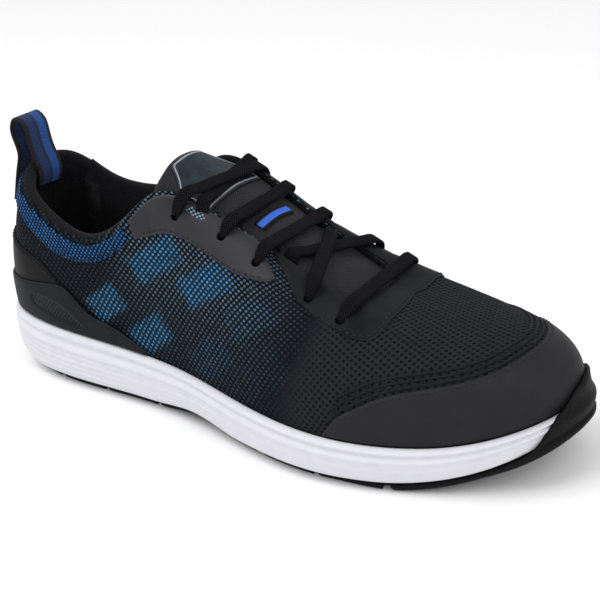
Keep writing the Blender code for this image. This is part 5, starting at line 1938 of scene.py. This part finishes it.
def build_pull_loop():
    """A folded webbing strap that straddles the collar's back edge and stands up behind it."""
    thick = wall_thickness(0.0, 1.0)
    clear = LOOP_CLEARANCE + LOOP_THICKNESS / 2
    outer = 2 * GAP + OVERLAY + clear
    low = off_skin(0.0, rise_from_edge(0.0, LOOP_TAIL), outer)
    mid = off_skin(0.0, rise_from_edge(0.0, LOOP_TAIL * 0.5), outer)
    brim = off_skin(0.0, rise_from_edge(0.0, LOOP_BRIM), outer)
    hollow = thick + clear + LOOP_HOLLOW
    inner = off_skin(0.0, rise_from_edge(0.0, LOOP_INSIDE[0]), -hollow)
    inner_low = off_skin(0.0, rise_from_edge(0.0, LOOP_INSIDE[1]), -hollow)
    ahead = np.array((math.cos(LOOP_LEAN), 0, math.sin(LOOP_LEAN)))
    up = np.array((math.sin(LOOP_LEAN), 0, -math.cos(LOOP_LEAN)))
    root = (brim + inner) / 2 + (0, 0, thick * LOOP_ROOT)
    half = LOOP_OPENING / 2
    # How far along the loop and how far across it each point of the strap lies, as shares
    bends = [(0.22, -0.95), (0.60, -0.95), (0.88, -0.75), (1.0, 0.0)]
    bends += [(far, -wide) for far, wide in bends[2::-1]]
    path = [low, mid, brim]
    path += [root + ahead * LOOP_LENGTH * far + up * half * wide for far, wide in bends]
    path += [inner, inner_low]
    chords = np.linalg.norm(np.diff(path, axis=0), axis=1)
    knots = np.concatenate([[0], np.cumsum(chords)]) / chords.sum()
    line = smooth_curve(knots, path)(np.linspace(0, 1, 120))
    loop = strip_along("pull_strap", line, (0, 1, 0), LOOP_WIDTH, LOOP_THICKNESS, [WEBBING], columns=21)
    return stand_for(loop, "blue_webbing", "pull_loop")


def build_studio():
    """A pale floor, soft light all round with a large lamp above, and the picture's own camera."""
    bpy.ops.object.select_all(action="DESELECT")
    bpy.ops.mesh.primitive_plane_add(size=6)
    floor = bpy.context.object
    floor.name = "studio_floor"
    floor.data.materials.append(start_material("matt_studio_paper", colour("f4f4f4"), 0.9)[0])
    world = bpy.data.worlds.new("soft_studio")
    world.use_nodes = True
    world.node_tree.nodes["Background"].inputs["Color"].default_value = colour("ffffff")
    world.node_tree.nodes["Background"].inputs["Strength"].default_value = WORLD_LIGHT
    bpy.context.scene.world = world
    bpy.context.scene.view_settings.view_transform = "Standard"
    for place, size, power in LAMPS:
        bpy.ops.object.light_add(type="AREA", location=place)
        lamp = bpy.context.object
        lamp.data.shape = "SQUARE"
        lamp.data.size = size
        lamp.data.energy = power
        lamp.rotation_euler = (Vector((0, 0, 0.05)) - Vector(place)).to_track_quat("-Z", "Y").to_euler()

    a, e, r = CAMERA_AZIMUTH, CAMERA_ELEVATION, CAMERA_ROLL
    back = Vector((math.sin(a) * math.cos(e), -math.cos(a) * math.cos(e), math.sin(e)))
    right = Vector((math.cos(a), math.sin(a), 0))
    up = back.cross(right)
    right, up = right * math.cos(r) + up * math.sin(r), up * math.cos(r) - right * math.sin(r)
    bpy.ops.object.camera_add()
    camera = bpy.context.object
    camera.matrix_world = Matrix.Translation(Vector(CAMERA_AIM) + Vector(MIDDLE) + back * CAMERA_DISTANCE) @ (
        Matrix((right, up, back)).transposed().to_4x4()
    )
    camera.data.lens = CAMERA_LENS
    camera.data.shift_x, camera.data.shift_y = CAMERA_SHIFT
    bpy.context.scene.camera = camera


# The upper's netting: it gives a dark knit at the toe, pale dots on the quarter and blue ones in blocks.
# Its pitch is coarser than real netting's, so that the dots show at the picture's size, and so is that
# of the films' windows
KNIT_COLOURS = ("0a0c10", "222327", "0b0c0f", "596f82", "4587b6")
KNIT = make_netting("polyester_netting_knit", *map(colour, KNIT_COLOURS), 3.2, 1.65)
# The collar's netting, also coarser than real: its dots are blue all round, so the band reads blue
BAND_COLOURS = ("08101c", "0a1424", "3272b4", "3272b4", "3474b4")
BAND = make_netting("blue_collar_netting", *map(colour, BAND_COLOURS), 2.5, 1.45)
# Bonded polyester thread: dull and near the films' own tone, so that a row reads as a faint sewn line
THREAD = make_braid("bonded_polyester_thread", colour("1a1b20"), colour("34353d"))
# The pressed seams above the toe cap: nearly black and dull, so that they read as fine dark lines
SEAM = make_film("pressed_seam_film", colour("0e0f12"), colour("1d1e23"), 0.66)
# The toe cap's film: dark grey with a faint gloss, so that its bend shows in the light
TOE_FILM = make_film("moulded_toe_film", colour("1e1e22"), colour("2b2b30"), 0.58, gloss=0.16)
# The heel counter's film: the darkest one, so that the heel reads darker than the toe
HEEL_FILM = make_film("moulded_heel_film", colour("09090b"), colour("151519"), 0.52)
# The heel support's film: matt grey with a painted highlight along its cut edges, which sets it off from the
# counter under it
SUPPORT_FILM = make_film("matt_support_film", colour("131519"), colour("23262b"), 0.56)
# The eyestays' film: the palest and glossiest one, with pale dots in its small window
EYESTAY = {"gloss": 0.24, "dots": "7d9bb4"}
EYESTAY_FILM = make_film("pressed_eyestay_film", colour("232328"), colour("3a3a40"), 0.52, **EYESTAY)
# The film before the throat: black, with a painted highlight along its cut edge that draws its outline
STRIP_FILM = make_film("pressed_strip_film", colour("0b0c0e"), colour("2c2e33"), 0.62, gloss=0.12)
# The midsole's foam: near white with a soft skin, the brightest piece of the shoe
FOAM = make_foam("moulded_eva_foam")
# The outsole's rubber: black and half matt, with a speckle that keeps it from looking like plastic
RUBBER = make_rubber("moulded_rubber")
# The collar's lining: black brushed knit, so that the opening reads dark and soft
LINING = make_cloth("brushed_lining", colour("09090c"), colour("17171c"), 1.6)
# The footbed's cover: knit a little paler than the lining, so that the floor of the shoe shows
FOOTBED = make_cloth("knitted_footbed_cover", colour("0e0e12"), colour("202026"), 1.4)
# The tongue's cover: the palest knit, so that the tongue stands out between the eyestays
TONGUE = make_cloth("brushed_tongue_knit", colour("202024"), colour("37373c"), 1.3)
# The bare label: a smooth dark plate with a pale border line
PATCH = make_patch("bare_moulded_label")
# The flat lace: black and dull, with plaits that show where the light grazes it
LACE = make_braid("flat_polyester_braid", colour("08080a"), colour("17171b"))
# The pull loop's webbing: ribbed, with two blue bands that mark the heel
WEBBING = make_webbing("woven_polyester_strap")
# The lace keeper's tape: a small bright blue bar on the tongue
KEEPER = make_tape("woven_blue_tape")

build_upper()
build_patches()
sew_seams()
build_midsole()
build_outsole()
build_footbed()
build_tongue()
punch_eyelets()
build_laces()
build_pull_loop()
build_studio()

bpy.context.view_layer.update()
